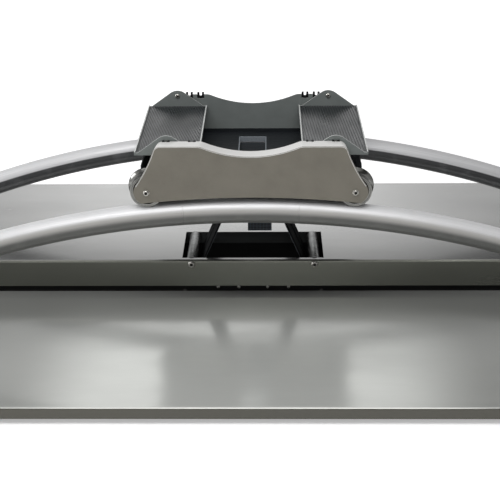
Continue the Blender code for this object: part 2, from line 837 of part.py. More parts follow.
def build_seats(carriage):
    for end_sign in (-1, 1):
        bar_ys = sorted(track_mid_y + end_sign * y for y in (plate_outer + gap, plate_outer + gap + strip_thickness))
        seat_ys = sorted(track_mid_y + end_sign * y for y in (plate_inner, plate_outer + gap + strip_thickness))
        slot_ys = (seat_ys[0] - 0.01, seat_ys[1] + 0.01)
        for side_sign in (-1, 1):
            name = "saddle_strip_" + end_name(end_sign) + "_" + side_name(side_sign)
            places = [side_sign * spread for spread in seat_places(end_sign)]
            bar_top = seat_top
            bar_low = (min(places) - strip_end, bar_ys[0], bar_top - strip_drop)
            bar_high = (max(places) + strip_end, bar_ys[1], bar_top)
            strip = make_solid(name, box(bar_low, bar_high), "plastic", carriage)
            cups = bmesh.new()
            slots = bmesh.new()
            top = plate_top + seat_rise - (front_seat_drop if end_sign < 0 else 0)
            for x in places:
                cup = [(x + seat_outer_radius, top), (x - seat_outer_radius, top)]
                cup += arc_points((x, pivot_z), seat_outer_radius, 180, 360, 8)
                extrude_outline(cups, cup, *seat_ys, "Y")
                radius = pivot_pin_radius + gap
                slot = [(x + radius, top + 0.01), (x - radius, top + 0.01)]
                slot += arc_points((x, pivot_z), radius, 180, 360, 8)
                extrude_outline(slots, slot, *slot_ys, "Y")
            unite(strip, make_guide("cups_" + name, cups))
            cut(strip, make_guide("slots_" + name, slots))


def pan_wall_top():
    # The end wall stays under the tray's floor when the tray leans to its limit.
    lean = math.radians(tray_tilt_limit)
    wall_reach = pan_length / 2 - seat_spread[0]
    floor_drop = tray_floor_drop + tray_sheet
    return pivot_z - floor_drop / math.cos(lean) - wall_reach * math.tan(lean) - stop_play


def build_pan(carriage):
    half = pan_length / 2
    side = plate_inner - gap
    floor_top = pan_bottom_z + pan_sheet
    ys = (track_mid_y - side, track_mid_y + side)
    body = box((-half, ys[0], pan_bottom_z), (half, ys[1], pan_wall_top()))
    pan = make_solid("pan", body, "plastic", carriage)
    side_top = pan_bottom_z + pan_side_height
    inner_ys = (ys[0] + pan_sheet, ys[1] - pan_sheet)
    outline = [
        (ys[0] - 0.1, side_top),
        (inner_ys[0], side_top),
        (inner_ys[0], floor_top),
        (inner_ys[1], floor_top),
        (inner_ys[1], side_top),
        (ys[1] + 0.1, side_top),
        (ys[1] + 0.1, side_top + 0.2),
        (ys[0] - 0.1, side_top + 0.2),
    ]
    inside = half - pan_sheet
    cut(pan, make_guide("hollow_pan", prism(outline, -inside, inside, "X")))
    front = track_mid_y + window_front
    rear = track_mid_y + window_rear
    reach = window_width / 2
    wall = pan_sheet
    collar = box(
        (-reach - wall, front - wall, pan_bottom_z - collar_depth),
        (reach + wall, rear + wall, pan_bottom_z + wall / 2),
    )
    unite(pan, make_guide("collar_pan", collar))
    window = box((-reach, front, pan_bottom_z - 0.1), (reach, rear, pan_bottom_z + 0.1))
    cut(pan, make_guide("window_pan", window))


def build_band_clamp(carriage):
    top = pan_bottom_z - collar_depth - gap
    middle = band_line(band_end_z)
    half = clamp_half_length
    side_z = middle.y + (half - middle.x) * band_slope
    bottom_x = middle.x - band_tie_thickness * 2
    bottom_z = middle.y - (middle.x - bottom_x) * band_slope
    right = [(bottom_x, bottom_z), (half, side_z), (half, top)]
    outline = right + mirrored(right)
    low = band_middle_y - band_half_spread - clamp_margin
    high = band_middle_y + band_half_spread + clamp_rear_margin
    make_solid("band_clamp", prism(outline, low, high), "plastic", carriage)
    back = low - gap
    front = back - tongue_thickness
    ribs = []
    for i in range(tongue_rib_count):
        z = tongue_bottom_z + i * tongue_rib_pitch
        ribs += [(front, z), (front, z + 0.6 * tongue_rib_pitch)]
        ribs += [(front + tongue_rib_depth, z + 0.6 * tongue_rib_pitch)]
        ribs += [(front + tongue_rib_depth, z + tongue_rib_pitch)]
    outline = ribs + [(front + tongue_rib_depth, top), (back, top), (back, tongue_bottom_z)]
    tongue = prism(outline, tongue_left, tongue_left + tongue_width, "X")
    make_solid("band_tongue", tongue, "plastic", carriage)


def wheel_profile():
    # Radius, and distance outwards from the wheel's middle: a low lip outside, a tall one inside.
    half = wheel_width / 2
    bore = wheel_axle_radius + gap
    rim = wheel_rim_radius
    lip = wheel_lip_radius
    face = half - wheel_lip_inset
    curve = rail_tube_radius + groove_ease
    profile = [(bore, half), (0.014, half), (0.015, face - 0.003), (0.031, face - 0.003), (0.032, face)]
    profile += [(lip - 0.001, face), (lip, face - 0.001)]
    lows = [curve - (radius - 0.0006 - wheel_roll_radius) for radius in (lip, rim)]
    start, end = [math.sqrt(curve ** 2 - low ** 2) for low in lows]
    for i in range(8):
        y = start - (start + end) * i / 7
        profile.append((wheel_roll_radius + curve - math.sqrt(curve ** 2 - y ** 2), y))
    profile += [(rim, 0.001 - half), (rim - 0.001, -half), (0.032, -half), (0.031, 0.003 - half)]
    profile += [(0.015, 0.003 - half), (0.014, -half), (bore, -half)]
    return profile


def build_wheels(carriage):
    for end_sign in (-1, 1):
        y_mid = track_mid_y + end_sign * rail_gauge / 2
        for side_sign in (-1, 1):
            label = end_name(end_sign) + "_" + side_name(side_sign)
            x = side_sign * wheel_x
            profile = [(radius, y_mid + end_sign * y) for radius, y in wheel_profile()]
            center = (x, y_mid, wheel_z)
            wheel = turned(profile, x, wheel_z, 28)
            make_solid("wheel_" + label, wheel, "wheel", carriage, center, smooth=True)
            radius = wheel_axle_radius
            sleeve = wheel_side - wheel_width - gap
            shaft = [
                (0, plate_inner + gap),
                (radius, plate_inner + gap),
                (radius, plate_outer + gap),
                (0.010, plate_outer + gap),
                (0.010, sleeve),
                (radius, sleeve),
                (radius, cover_outer + gap),
                (0.0068, cover_outer + gap),
                (0.0068, cover_outer + 0.003),
                (0.0045, cover_outer + 0.0055),
                (0, cover_outer + 0.0055),
            ]
            shaft = [(radius, track_mid_y + end_sign * y) for radius, y in shaft]
            make_solid("wheel_axle_" + label, turned(shaft, x, wheel_z, 14), "bolt", carriage, smooth=True)


# Foot trays

def ear_outline(sign):
    # A triangle with a broad round top; its feet stand a little way in from the tray's lips.
    half = tray_width / 2
    lip_top = tray_floor_top + tray_lip
    shoulder = tray_floor_top + ear_shoulder
    foot_x = half - ear_inset
    center_z = pivot_z + ear_top_rise - ear_top_radius
    spoke = Vector((foot_x, shoulder - center_z))
    start = math.degrees(math.atan2(spoke.y, spoke.x) + math.acos(ear_top_radius / spoke.length))
    right = [
        (half, tray_floor_bottom),
        (half, lip_top),
        (half - tray_sheet, lip_top),
        (half - tray_sheet, shoulder),
        (foot_x, shoulder),
        *arc_points((0, center_z), ear_top_radius, start, 90, 6),
    ]
    outline = right + mirrored(right[:-1])
    return [(sign * seat_spread[0] + u, z) for u, z in outline]


def build_trays(axes):
    for sign in (-1, 1):
        side = side_name(sign)
        x = sign * seat_spread[0]
        axis = axes[sign]
        ys = (track_mid_y - tray_end, track_mid_y + tray_end)
        origin = (x, track_mid_y, pivot_z)
        tray = make_solid("tray_" + side, prism(ear_outline(sign), *ys), "silver", axis, origin)
        half = tray_width / 2
        lip_top = tray_floor_top + tray_lip
        inside = half - tray_sheet
        outline = [
            (x - half - 0.02, lip_top),
            (x - inside, lip_top),
            (x - inside, tray_floor_top),
            (x + inside, tray_floor_top),
            (x + inside, lip_top),
            (x + half + 0.02, lip_top),
            (x + half + 0.02, lip_top + 0.1),
            (x - half - 0.02, lip_top + 0.1),
        ]
        room = (ys[0] + tray_sheet, ys[1] - tray_sheet)
        cut(tray, make_guide("room_tray_" + side, prism(outline, *room)))
        drill = bmesh.new()
        add_cylinder(drill, x, pivot_z, pivot_pin_radius + gap, ys[0] - 0.01, ys[1] + 0.01, 12)
        cut(tray, make_guide("drill_tray_" + side, drill))
        reach = inside - mat_margin
        low = (x - reach, room[0] + mat_margin, tray_floor_top + gap)
        high = (x + reach, room[1] - mat_margin, tray_floor_top + gap + mat_thickness)
        mat = make_solid("mat_" + side, box(low, high), "mat", axis)
        round_edges(mat, 0.0008)
        build_pivot_pins(x, side, axis)


def build_pivot_pins(x, side, axis):
    ear_inner = tray_end - tray_sheet
    tip = pin_tip
    for end_sign in (-1, 1):
        profile = [
            (0, ear_inner - 0.0045),
            (0.0045, ear_inner - 0.0045),
            (pivot_head_radius, ear_inner - 0.002),
            (pivot_head_radius, ear_inner - gap),
            (pivot_pin_radius, ear_inner - gap),
            (pivot_pin_radius, tip - 0.0008),
            (pivot_pin_radius - 0.0008, tip),
            (0, tip),
        ]
        profile = [(radius, track_mid_y + end_sign * y) for radius, y in profile]
        name = "pivot_pin_" + side + "_" + end_name(end_sign)
        make_solid(name, turned(profile, x, pivot_z, 12), "bolt", axis, smooth=True)


def build_all():
    clear_scene()
    drill = build_axle_drill()
    build_rails()
    build_rail_stops()
    for sign in (-1, 1):
        build_crossmember(sign)
    build_feet()
    build_floor_tube()
    build_beams(drill)
    build_front_deck()
    build_rear_deck(drill)
    build_rollers()
    build_bands()
    carriage = make_axis("axis_carriage", (0, track_mid_y, arc_center_z))
    build_side_beams(carriage)
    build_seats(carriage)
    build_pan(carriage)
    build_band_clamp(carriage)
    build_wheels(carriage)
    axes = {}
    for sign in (-1, 1):
        place = (sign * seat_spread[0], track_mid_y, pivot_z)
        axes[sign] = make_axis("axis_tray_" + side_name(sign), place)
        axes[sign].parent = carriage
        axes[sign].matrix_parent_inverse = Matrix.Translation(-carriage.location)
    build_trays(axes)


build_all()
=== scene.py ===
import math

import bmesh
import bpy
from mathutils import Matrix, Vector


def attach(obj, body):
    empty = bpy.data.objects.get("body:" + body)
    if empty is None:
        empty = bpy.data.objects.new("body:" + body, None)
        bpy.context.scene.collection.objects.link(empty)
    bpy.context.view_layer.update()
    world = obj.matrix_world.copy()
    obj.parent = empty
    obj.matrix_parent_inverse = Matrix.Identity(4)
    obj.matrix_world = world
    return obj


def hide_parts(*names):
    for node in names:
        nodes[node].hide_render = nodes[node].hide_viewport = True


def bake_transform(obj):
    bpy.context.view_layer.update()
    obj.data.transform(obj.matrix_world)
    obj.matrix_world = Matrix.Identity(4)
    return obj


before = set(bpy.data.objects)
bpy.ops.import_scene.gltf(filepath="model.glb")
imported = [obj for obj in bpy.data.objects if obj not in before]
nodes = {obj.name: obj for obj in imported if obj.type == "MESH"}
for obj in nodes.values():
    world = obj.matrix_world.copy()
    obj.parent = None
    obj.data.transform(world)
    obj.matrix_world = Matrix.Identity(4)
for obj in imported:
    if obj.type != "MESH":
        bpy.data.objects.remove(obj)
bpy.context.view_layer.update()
print("frame loaded,", len(nodes), "solids")


# places that several pieces share, in metres

trackY = 0.0375      # middle between the two rails
gauge = 0.500      # from one rail's centre line to the other's
railRadius = 2.24021      # of the arc that both rails follow
railTube = 0.030      # radius of the tube itself
railTop = 0.3705      # height of the rail's centre line in the middle
arcCentre = (0, trackY, railTop - railRadius)
wheelHub = (0.2459, 0.42516)      # x and z of the wheels' axles on the right
rollerHub = (0.163, 0.1262)      # the same for the deck rollers
pivotX = 0.2019      # the trays' pivots, and the middles of their mats
ends = {"front": -1, "rear": 1}
sides = {"left": -1, "right": 1}
carriageCorners = [(end, ends[end], side, sides[side]) for end in ends for side in sides]


# camera, where the photograph was taken from

viewPoint = {
    "place": (0.0420, -2.7238, 1.4057),
    "lookDown": 24.406, "turn": 1.034, "roll": -0.534,      # degrees
    "focalPixels": 1137.26, "pictureWidth": 500, "sensor": 36,
}


def setCamera(v):
    down, turn, roll = (math.radians(v[k]) for k in ("lookDown", "turn", "roll"))
    ahead = Vector((-math.sin(turn) * math.cos(down), math.cos(turn) * math.cos(down), -math.sin(down)))
    across = Vector((math.cos(turn), math.sin(turn), 0))
    above = across.cross(ahead)
    right = math.cos(roll) * across + math.sin(roll) * above
    upward = math.cos(roll) * above - math.sin(roll) * across
    lens = bpy.data.cameras.new("photoCamera")
    lens.sensor_width = v["sensor"]
    lens.lens = v["focalPixels"] * v["sensor"] / v["pictureWidth"]
    camera = bpy.data.objects.new("photoCamera", lens)
    bpy.context.scene.collection.objects.link(camera)
    aim = Matrix((right, upward, -ahead)).transposed().to_4x4()
    camera.matrix_world = Matrix.Translation(v["place"]) @ aim
    bpy.context.scene.camera = camera


setCamera(viewPoint)
print("camera set")


# node helpers for the finishes

noiseSpan = (0.3, 0.7)      # most of a noise texture's values lie in here


def startFinish(name, look):
    finish = bpy.data.materials.new(name)
    finish.use_nodes = True
    shader = finish.node_tree.nodes["Principled BSDF"]
    shader.inputs["Metallic"].default_value = look.get("metal", 0)
    shader.inputs["Roughness"].default_value = look["rough"]
    shader.inputs["Specular IOR Level"].default_value = look.get("gloss", 0.5)
    if "coat" in look:
        shader.inputs["Coat Weight"].default_value = look["coat"]
        shader.inputs["Coat Roughness"].default_value = look["coatRough"]
    return finish, finish.node_tree, shader


def makeFinish(name, look, texture):
    # texture is a function that draws the colour, the roughness and the relief
    finish, tree, shader = startFinish(name, look)
    for socket, value in zip(("Base Color", "Roughness", "Normal"), texture(tree, place(tree), look)):
        tree.links.new(value, shader.inputs[socket])
    return finish


def place(tree):
    return tree.nodes.new("ShaderNodeTexCoord").outputs["Object"]


def axisOf(tree, vector, axis):
    split = tree.nodes.new("ShaderNodeSeparateXYZ")
    tree.links.new(vector, split.inputs[0])
    return split.outputs[axis]


def stretch(tree, vector, amounts):
    node = tree.nodes.new("ShaderNodeMapping")
    node.inputs["Scale"].default_value = amounts
    tree.links.new(vector, node.inputs["Vector"])
    return node.outputs["Vector"]


def cloud(tree, vector, size, detail, soft=0.5, stretched=None):
    # size is the width of one blotch in metres; stretched makes it finer along an axis
    if stretched:
        vector = stretch(tree, vector, stretched)
    node = tree.nodes.new("ShaderNodeTexNoise")
    node.inputs["Scale"].default_value = 1 / size
    node.inputs["Detail"].default_value = detail
    node.inputs["Roughness"].default_value = soft
    tree.links.new(vector, node.inputs["Vector"])
    return node.outputs["Fac"]


def cells(tree, vector, size, feature="F1"):
    node = tree.nodes.new("ShaderNodeTexVoronoi")
    node.feature = feature
    node.inputs["Scale"].default_value = 1 / size
    tree.links.new(vector, node.inputs["Vector"])
    return node.outputs["Distance"]


def marked(tree, name):
    # a value that the mesh carries at its corners
    node = tree.nodes.new("ShaderNodeAttribute")
    node.attribute_name = name
    return node.outputs["Fac"]


def remap(tree, value, fromLow, fromHigh, toLow=0.0, toHigh=1.0, smooth=False):
    node = tree.nodes.new("ShaderNodeMapRange")
    node.interpolation_type = "SMOOTHSTEP" if smooth else "LINEAR"
    numbers = (fromLow, fromHigh, toLow, toHigh)
    for socket, number in zip(("From Min", "From Max", "To Min", "To Max"), numbers):
        node.inputs[socket].default_value = number
    tree.links.new(value, node.inputs["Value"])
    return node.outputs["Result"]


def reckon(tree, operation, first, second=None):
    node = tree.nodes.new("ShaderNodeMath")
    node.operation = operation
    for socket, value in zip(node.inputs, (first, second)):
        if value is None:
            continue
        if isinstance(value, (int, float)):
            socket.default_value = value
        else:
            tree.links.new(value, socket)
    return node.outputs["Value"]


def distance(tree, first, second):
    squares = [reckon(tree, "POWER", side, 2) for side in (first, second)]
    return reckon(tree, "SQRT", reckon(tree, "ADD", *squares))


def tint(tree, factor, first, second):
    node = tree.nodes.new("ShaderNodeMix")
    node.data_type = "RGBA"
    tree.links.new(factor, node.inputs[0])
    for socket, value in ((node.inputs[6], first), (node.inputs[7], second)):
        if isinstance(value, tuple):
            socket.default_value = (*value, 1)
        else:
            tree.links.new(value, socket)
    return node.outputs[2]


def emboss(tree, height, depth, strength, below=None):
    node = tree.nodes.new("ShaderNodeBump")
    node.inputs["Distance"].default_value = depth
    node.inputs["Strength"].default_value = strength
    tree.links.new(height, node.inputs["Height"])
    if below is not None:
        tree.links.new(below, node.inputs["Normal"])
    return node.outputs["Normal"]


def facing(tree, axis, low, high):
    # 0 to 1 as the surface turns towards the piece's own axis
    normal = tree.nodes.new("ShaderNodeTexCoord").outputs["Normal"]
    return remap(tree, axisOf(tree, normal, axis), low, high, smooth=True)


def shaded(colour, amount):
    return tuple(c * amount for c in colour)


def twoShades(tree, factor, colour, amounts):
    return tint(tree, factor, shaded(colour, amounts[0]), shaded(colour, amounts[1]))


def blotted(tree, base, pattern, span, colour):
    return tint(tree, remap(tree, pattern, *span), base, colour)


def wornRough(tree, pattern, rough, change):
    # change is what the pattern's low and high values add to the roughness
    return remap(tree, pattern, *noiseSpan, rough + change[0], rough + change[1])


# decks: rolled sheet with its grain along X, faint smears and hairline scratches

deckSheet = {
    "grain": {"stretched": (1.2, 60, 60), "size": 0.05, "detail": 4, "soft": 0.6},
    "grainShades": (0.98, 1.02), "grainRough": (-0.012, 0.012), "grainDepth": (0.0001, 0.06),
    "smear": {"stretched": (1, 2.5, 2.5), "size": 0.35, "detail": 4, "soft": 0.55},
    "smearSpan": (0.35, 0.7, 0, 0.35), "smearShade": 0.82, "smearRough": (-0.05, 0.06),
    "scratch": {"stretched": (14, 1.5, 1), "size": 0.03, "detail": 2, "soft": 0.4},
    "scratchSpan": (0.64, 0.70, 0, 0.05), "scratchShade": 1.25,
    "waves": {"size": 0.4, "detail": 2}, "waveDepth": (0.003, 0.25),
    "paintedShadeLevel": 0.45,
}
# the colour of a folded face and the darkening towards the beam and both ends are painted shade
deckLooks = {
    "frontSheet": {"colour": (0.645, 0.657, 0.63), "metal": 0.47, "rough": 0.16,
                   "face": (0.083, 0.080, 0.068), "shadedFaceFrom": (-0.45, -0.9),
                   "paintedShade": 0.85, "paintedShadeFrom": (-0.03, -0.33), "outer": 0.58, "outerFrom": (0.34, 0.56)},
    "rearSheet": {"colour": (0.595, 0.598, 0.591), "metal": 0.85, "rough": 0.22,
                  "face": (0.182, 0.186, 0.163), "shadedFaceFrom": (-0.26, -0.72),
                  "paintedShade": 0.95, "paintedShadeFrom": (0.0, 0.30)},
}


def deckTexture(tree, where, look):
    s, colour = deckSheet, look["colour"]
    grain = cloud(tree, where, **s["grain"])
    smear = cloud(tree, where, **s["smear"])
    scratch = cloud(tree, where, **s["scratch"])
    base = twoShades(tree, remap(tree, grain, *noiseSpan), colour, s["grainShades"])
    base = blotted(tree, base, smear, s["smearSpan"], shaded(colour, s["smearShade"]))
    scratched = remap(tree, scratch, *s["scratchSpan"], smooth=True)
    base = tint(tree, scratched, base, shaded(colour, s["scratchShade"]))
    # painted shade: darker next to the beam and, in the front sheet, towards both ends; a folded face gets
    # painted shade too
    paintedShadeColour = shaded(colour, s["paintedShadeLevel"])
    paintedShade = remap(tree, axisOf(tree, where, 1), *look["paintedShadeFrom"], look["paintedShade"], 0, smooth=True)
    base = tint(tree, paintedShade, base, paintedShadeColour)
    # painted shade towards both ends of the front sheet
    if "outer" in look:
        aside = reckon(tree, "ABSOLUTE", axisOf(tree, where, 0))
        outer = remap(tree, aside, *look["outerFrom"], 0, look["outer"], smooth=True)
        base = tint(tree, outer, base, paintedShadeColour)
    base = tint(tree, facing(tree, 1, *look["shadedFaceFrom"]), base, look["face"])
    rough = wornRough(tree, smear, look["rough"], s["smearRough"])
    rough = reckon(tree, "ADD", rough, wornRough(tree, grain, 0, s["grainRough"]))
    bump = emboss(tree, grain, *s["grainDepth"])
    bump = emboss(tree, cloud(tree, where, **s["waves"]), *s["waveDepth"], bump)
    return base, rough, bump


# painted sheet: a sprayed coat with fine peel, dust in the flats and pale specks

paintCoat = {
    "peel": {"size": 0.0022, "detail": 2}, "peelDepth": (0.00025, 0.35),
    "dust": {"size": 0.06, "detail": 5, "soft": 0.6}, "dustSpan": (0.3, 0.72),
    "dustShades": (1.05, 0.9), "dustRough": (-0.05, 0.07),
    "speck": {"size": 0.0011, "detail": 1}, "speckSpan": (0.62, 0.7, 0, 0.22), "speckShade": 1.6,
    "edgeRough": -0.1,
}
# edge is a painted highlight where a surface looks up; upper is painted light on an upper band, with painted
# shade below it
paintLooks = {
    "coverPaint": {"colour": (0.163, 0.151, 0.124), "metal": 0.1, "rough": 0.45, "gloss": 0.4,
                   "edge": (0.64, 0.635, 0.62), "edgeFrom": (0.3, 0.6)},
    "platePaint": {"colour": (0.176, 0.193, 0.188), "metal": 0.1, "rough": 0.48, "gloss": 0.4,
                   "edge": (0.50, 0.51, 0.50), "edgeFrom": (0.45, 0.75)},
    # a painted highlight on the rolled edge of the front cover
    "edgeHighlightPaint": {"colour": (0.62, 0.615, 0.60), "metal": 0.1, "rough": 0.4, "gloss": 0.4},
    "framePaint": {"colour": (0.030, 0.030, 0.032), "rough": 0.5, "gloss": 0.4},
    "sheetPaint": {"colour": (0.006, 0.006, 0.006), "rough": 0.7, "gloss": 0.12},
    # painted light on the upper band of the inner rear beam, painted shade below it
    "flangePaint": {"colour": (0.006, 0.006, 0.006), "rough": 0.7, "gloss": 0.12,
                    "upper": (0.085, 0.09, 0.09), "upperFrom": (0.101, 0.106)},
}


def paintTexture(tree, where, look):
    s, colour = paintCoat, look["colour"]
    dust = cloud(tree, where, **s["dust"])
    base = twoShades(tree, remap(tree, dust, *s["dustSpan"]), colour, s["dustShades"])
    speck = remap(tree, cloud(tree, where, **s["speck"]), *s["speckSpan"])
    base = tint(tree, speck, base, shaded(colour, s["speckShade"]))
    rough = wornRough(tree, dust, look["rough"], s["dustRough"])
    # painted light on the upper band and painted shade below it
    if "upper" in look:      # another colour from this height on
        upper = remap(tree, axisOf(tree, where, 2), *look["upperFrom"], smooth=True)
        base = tint(tree, upper, base, look["upper"])
    # painted highlight where the surface looks up
    if "edge" in look:      # brighter and smoother where it looks up
        upward = facing(tree, 2, *look["edgeFrom"])
        base = tint(tree, upward, base, look["edge"])
        rough = reckon(tree, "ADD", rough, reckon(tree, "MULTIPLY", upward, s["edgeRough"]))
    peel = cloud(tree, where, **s["peel"])
    return base, rough, emboss(tree, peel, *s["peelDepth"])


# rails: satin tube with a painted highlight where it looks up and painted shade below, with fine drawing
# lines along the arc

railCoat = {
    "draw": {"size": 0.0016, "detail": 3, "soft": 0.6}, "drawnOut": 0.012,
    "drawSpan": (0.35, 0.65, 0, 0.14), "drawShade": 1.5,
    "drawRough": (-0.03, 0.05), "drawDepth": (0.00008, 0.3),
    "worn": {"size": 0.05, "detail": 4, "soft": 0.6}, "wornSpan": (0.5, 0.75, 0, 0.1), "wornShade": 0.8,
}
railLooks = {
    "railFront": {"colour": (0.66, 0.66, 0.67), "middle": (0.42, 0.412, 0.395),
                  "under": (0.083, 0.084, 0.080), "shadeBand": (-0.1, 0.36), "highlightBand": (0.3, 0.7),
                  "metal": 0.2, "rough": 0.42, "coat": 0.10, "coatRough": 0.12},
    "railRear": {"colour": (0.60, 0.60, 0.61), "middle": (0.56, 0.56, 0.57),
                 "under": (0.032, 0.033, 0.035), "shadeBand": (0.22, 0.33), "highlightBand": (0.5, 0.9),
                 "metal": 0.2, "rough": 0.42, "coat": 0.10, "coatRough": 0.12},
}


def railTexture(tree, where, look):
    s = railCoat
    offset = tree.nodes.new("ShaderNodeVectorMath")
    offset.operation = "SUBTRACT"
    offset.inputs[1].default_value = arcCentre
    tree.links.new(where, offset.inputs[0])
    along, across, up = (axisOf(tree, offset.outputs[0], axis) for axis in range(3))
    span = distance(tree, along, up)
    # the tube laid out straight, so that its lines follow the arc
    straight = tree.nodes.new("ShaderNodeCombineXYZ")
    drawn = reckon(tree, "MULTIPLY", axisOf(tree, where, 0), s["drawnOut"])
    for socket, value in zip(straight.inputs, (span, across, drawn)):
        tree.links.new(value, socket)
    draw = cloud(tree, straight.outputs[0], **s["draw"])
    worn = cloud(tree, where, **s["worn"])
    height = reckon(tree, "DIVIDE", reckon(tree, "SUBTRACT", span, railRadius), railTube)
    # painted shade below the tube's middle and a painted highlight over its top
    base = tint(tree, remap(tree, height, *look["shadeBand"], smooth=True), look["under"], look["middle"])
    base = tint(tree, remap(tree, height, *look["highlightBand"], smooth=True), base, look["colour"])
    base = blotted(tree, base, draw, s["drawSpan"], shaded(look["under"], s["drawShade"]))
    base = blotted(tree, base, worn, s["wornSpan"], shaded(look["middle"], s["wornShade"]))
    rough = wornRough(tree, draw, look["rough"], s["drawRough"])
    return base, rough, emboss(tree, draw, *s["drawDepth"])


# wheels and rollers: turned metal with rings round the axle and a little grease

turning = {
    "ringSpan": (0.35, 0.65), "ringShades": (0.82, 1.12), "ringDepth": (0.0002, 0.4),
    "smut": {"size": 0.018, "detail": 4, "soft": 0.6}, "smutSpan": (0.45, 0.75, 0, 0.5),
    "smutShade": 0.4, "smutRough": (-0.06, 0.1),
}
latheLooks = {
    "wheelMetal": {"colour": (0.19, 0.19, 0.18), "metal": 0.95, "rough": 0.17,
                   "pitch": 0.0012, "axle": wheelHub},
    "rollerMetal": {"colour": (0.30, 0.308, 0.305), "metal": 0.8, "rough": 0.30,
                    "pitch": 0.0009, "axle": rollerHub},
}


def latheTexture(tree, where, look):
    s, colour = turning, look["colour"]
    aside = reckon(tree, "SUBTRACT", reckon(tree, "ABSOLUTE", axisOf(tree, where, 0)), look["axle"][0])
    above = reckon(tree, "SUBTRACT", axisOf(tree, where, 2), look["axle"][1])
    rings = tree.nodes.new("ShaderNodeTexNoise")
    rings.noise_dimensions = "1D"
    rings.inputs["Scale"].default_value = 1 / look["pitch"]
    tree.links.new(distance(tree, aside, above), rings.inputs["W"])
    ring = rings.outputs["Fac"]
    smut = cloud(tree, where, **s["smut"])
    base = twoShades(tree, remap(tree, ring, *s["ringSpan"]), colour, s["ringShades"])
    base = blotted(tree, base, smut, s["smutSpan"], shaded(colour, s["smutShade"]))
    rough = wornRough(tree, smut, look["rough"], s["smutRough"])
    return base, rough, emboss(tree, ring, *s["ringDepth"])


# bolts and the window's liner: small crystals and handling marks, with painted shade inside a socket

zincCoat = {
    "crystal": 0.0016, "crystalSpan": (0.1, 0.7), "crystalShades": (1.06, 0.9),
    "smut": {"size": 0.004, "detail": 3, "soft": 0.6}, "smutSpan": (0.5, 0.75, 0, 0.45),
    "smutShade": 0.45, "smutRough": (-0.05, 0.1), "smutDepth": (0.0001, 0.3),
    "socketShadeLevel": 0.06,
}
boltLooks = {
    "windowHighlightMetal": {"colour": (0.30, 0.33, 0.36), "metal": 0.4, "rough": 0.4},
    "boltZinc": {"colour": (0.50, 0.49, 0.46), "metal": 1.0, "rough": 0.26},
    "boltBlack": {"colour": (0.07, 0.07, 0.068), "metal": 0.8, "rough": 0.4},
}


def boltTexture(tree, where, look):
    s, colour = zincCoat, look["colour"]
    crystals = remap(tree, cells(tree, where, s["crystal"]), *s["crystalSpan"])
    smut = cloud(tree, where, **s["smut"])
    base = twoShades(tree, crystals, colour, s["crystalShades"])
    base = blotted(tree, base, smut, s["smutSpan"], shaded(colour, s["smutShade"]))
    # painted shade in the socket
    base = tint(tree, marked(tree, "socketShade"), base, shaded(colour, s["socketShadeLevel"]))
    rough = wornRough(tree, smut, look["rough"], s["smutRough"])
    return base, rough, emboss(tree, smut, *s["smutDepth"])


# mouldings: black with a leathery grain and paler scuffs; the tongue has fine crossed ribs

mouldGrain = {
    "grainSpan": (0.0, 0.8), "grainShades": (1.25, 0.8), "grainDepth": (0.0004, 0.5),
    "scuff": {"stretched": (1, 3, 3), "size": 0.03, "detail": 5, "soft": 0.65},
    "scuffSpan": (0.52, 0.78, 0, 0.6), "scuffShade": 2.2, "scuffRough": (-0.08, 0.08),
    "ribAxes": (0, 2), "ribSpan": (0.4, 0.95, 0, 0.55), "ribShade": 3.2,
}
mouldLooks = {
    "blackMoulding": {"colour": (0.0075, 0.0095, 0.0115), "rough": 0.5, "grain": 0.0016, "gloss": 0.3},
    "ribbedMoulding": {"colour": (0.016, 0.021, 0.027), "rough": 0.5, "grain": 0.0016, "gloss": 0.3,
                       "rib": 0.0088},
    "seatMoulding": {"colour": (0.004, 0.004, 0.0045), "rough": 0.55, "grain": 0.0010, "gloss": 0.2},
    "footRubber": {"colour": (0.018, 0.018, 0.018), "rough": 0.75, "grain": 0.0022, "gloss": 0.3},
}


def mouldTexture(tree, where, look):
    s, colour = mouldGrain, look["colour"]
    grain = cells(tree, where, look["grain"], "SMOOTH_F1")
    scuff = cloud(tree, where, **s["scuff"])
    base = twoShades(tree, remap(tree, grain, *s["grainSpan"]), colour, s["grainShades"])
    base = blotted(tree, base, scuff, s["scuffSpan"], shaded(colour, s["scuffShade"]))
    if "rib" in look:
        for axis in s["ribAxes"]:
            turns = reckon(tree, "MULTIPLY", axisOf(tree, where, axis), math.tau / look["rib"])
            rib = remap(tree, reckon(tree, "SINE", turns), *s["ribSpan"], smooth=True)
            base = tint(tree, rib, base, shaded(colour, s["ribShade"]))
    rough = wornRough(tree, scuff, look["rough"], s["scuffRough"])
    return base, rough, emboss(tree, grain, *s["grainDepth"])


# foot mats: dusty blue-black rubber with painted shade in the grooves, paler where soles have rubbed it

matLooks = {
    "matRubber": {
        "colour": (0.016, 0.020, 0.022), "groove": (0.004, 0.005, 0.006), "rubbed": (0.028, 0.033, 0.035),
        "rough": 0.32, "gloss": 0.68, "topFrom": (0.4924, 0.4941),
        "rub": {"stretched": (1, 0.5, 1), "size": 0.05, "detail": 4, "soft": 0.6},
        "rubSpan": (0.4, 0.72, 0, 0.55), "rubRough": (0.06, -0.08),
        "pores": {"size": 0.0012, "detail": 2}, "poreSpan": (0.55, 0.75, 0, 0.3), "poreDepth": (0.0003, 0.4),
    },
}


def matTexture(tree, where, look):
    rub = cloud(tree, where, **look["rub"])
    pores = cloud(tree, where, **look["pores"])
    top = remap(tree, axisOf(tree, where, 2), *look["topFrom"])
    rubbed = reckon(tree, "MULTIPLY", remap(tree, rub, *look["rubSpan"]), top)
    # painted shade: the groove colour below the tops of the ribs
    base = tint(tree, top, look["groove"], look["colour"])
    base = tint(tree, rubbed, base, look["rubbed"])
    base = blotted(tree, base, pores, look["poreSpan"], look["groove"])
    rough = wornRough(tree, rub, look["rough"], look["rubRough"])
    return base, rough, emboss(tree, pores, *look["poreDepth"])
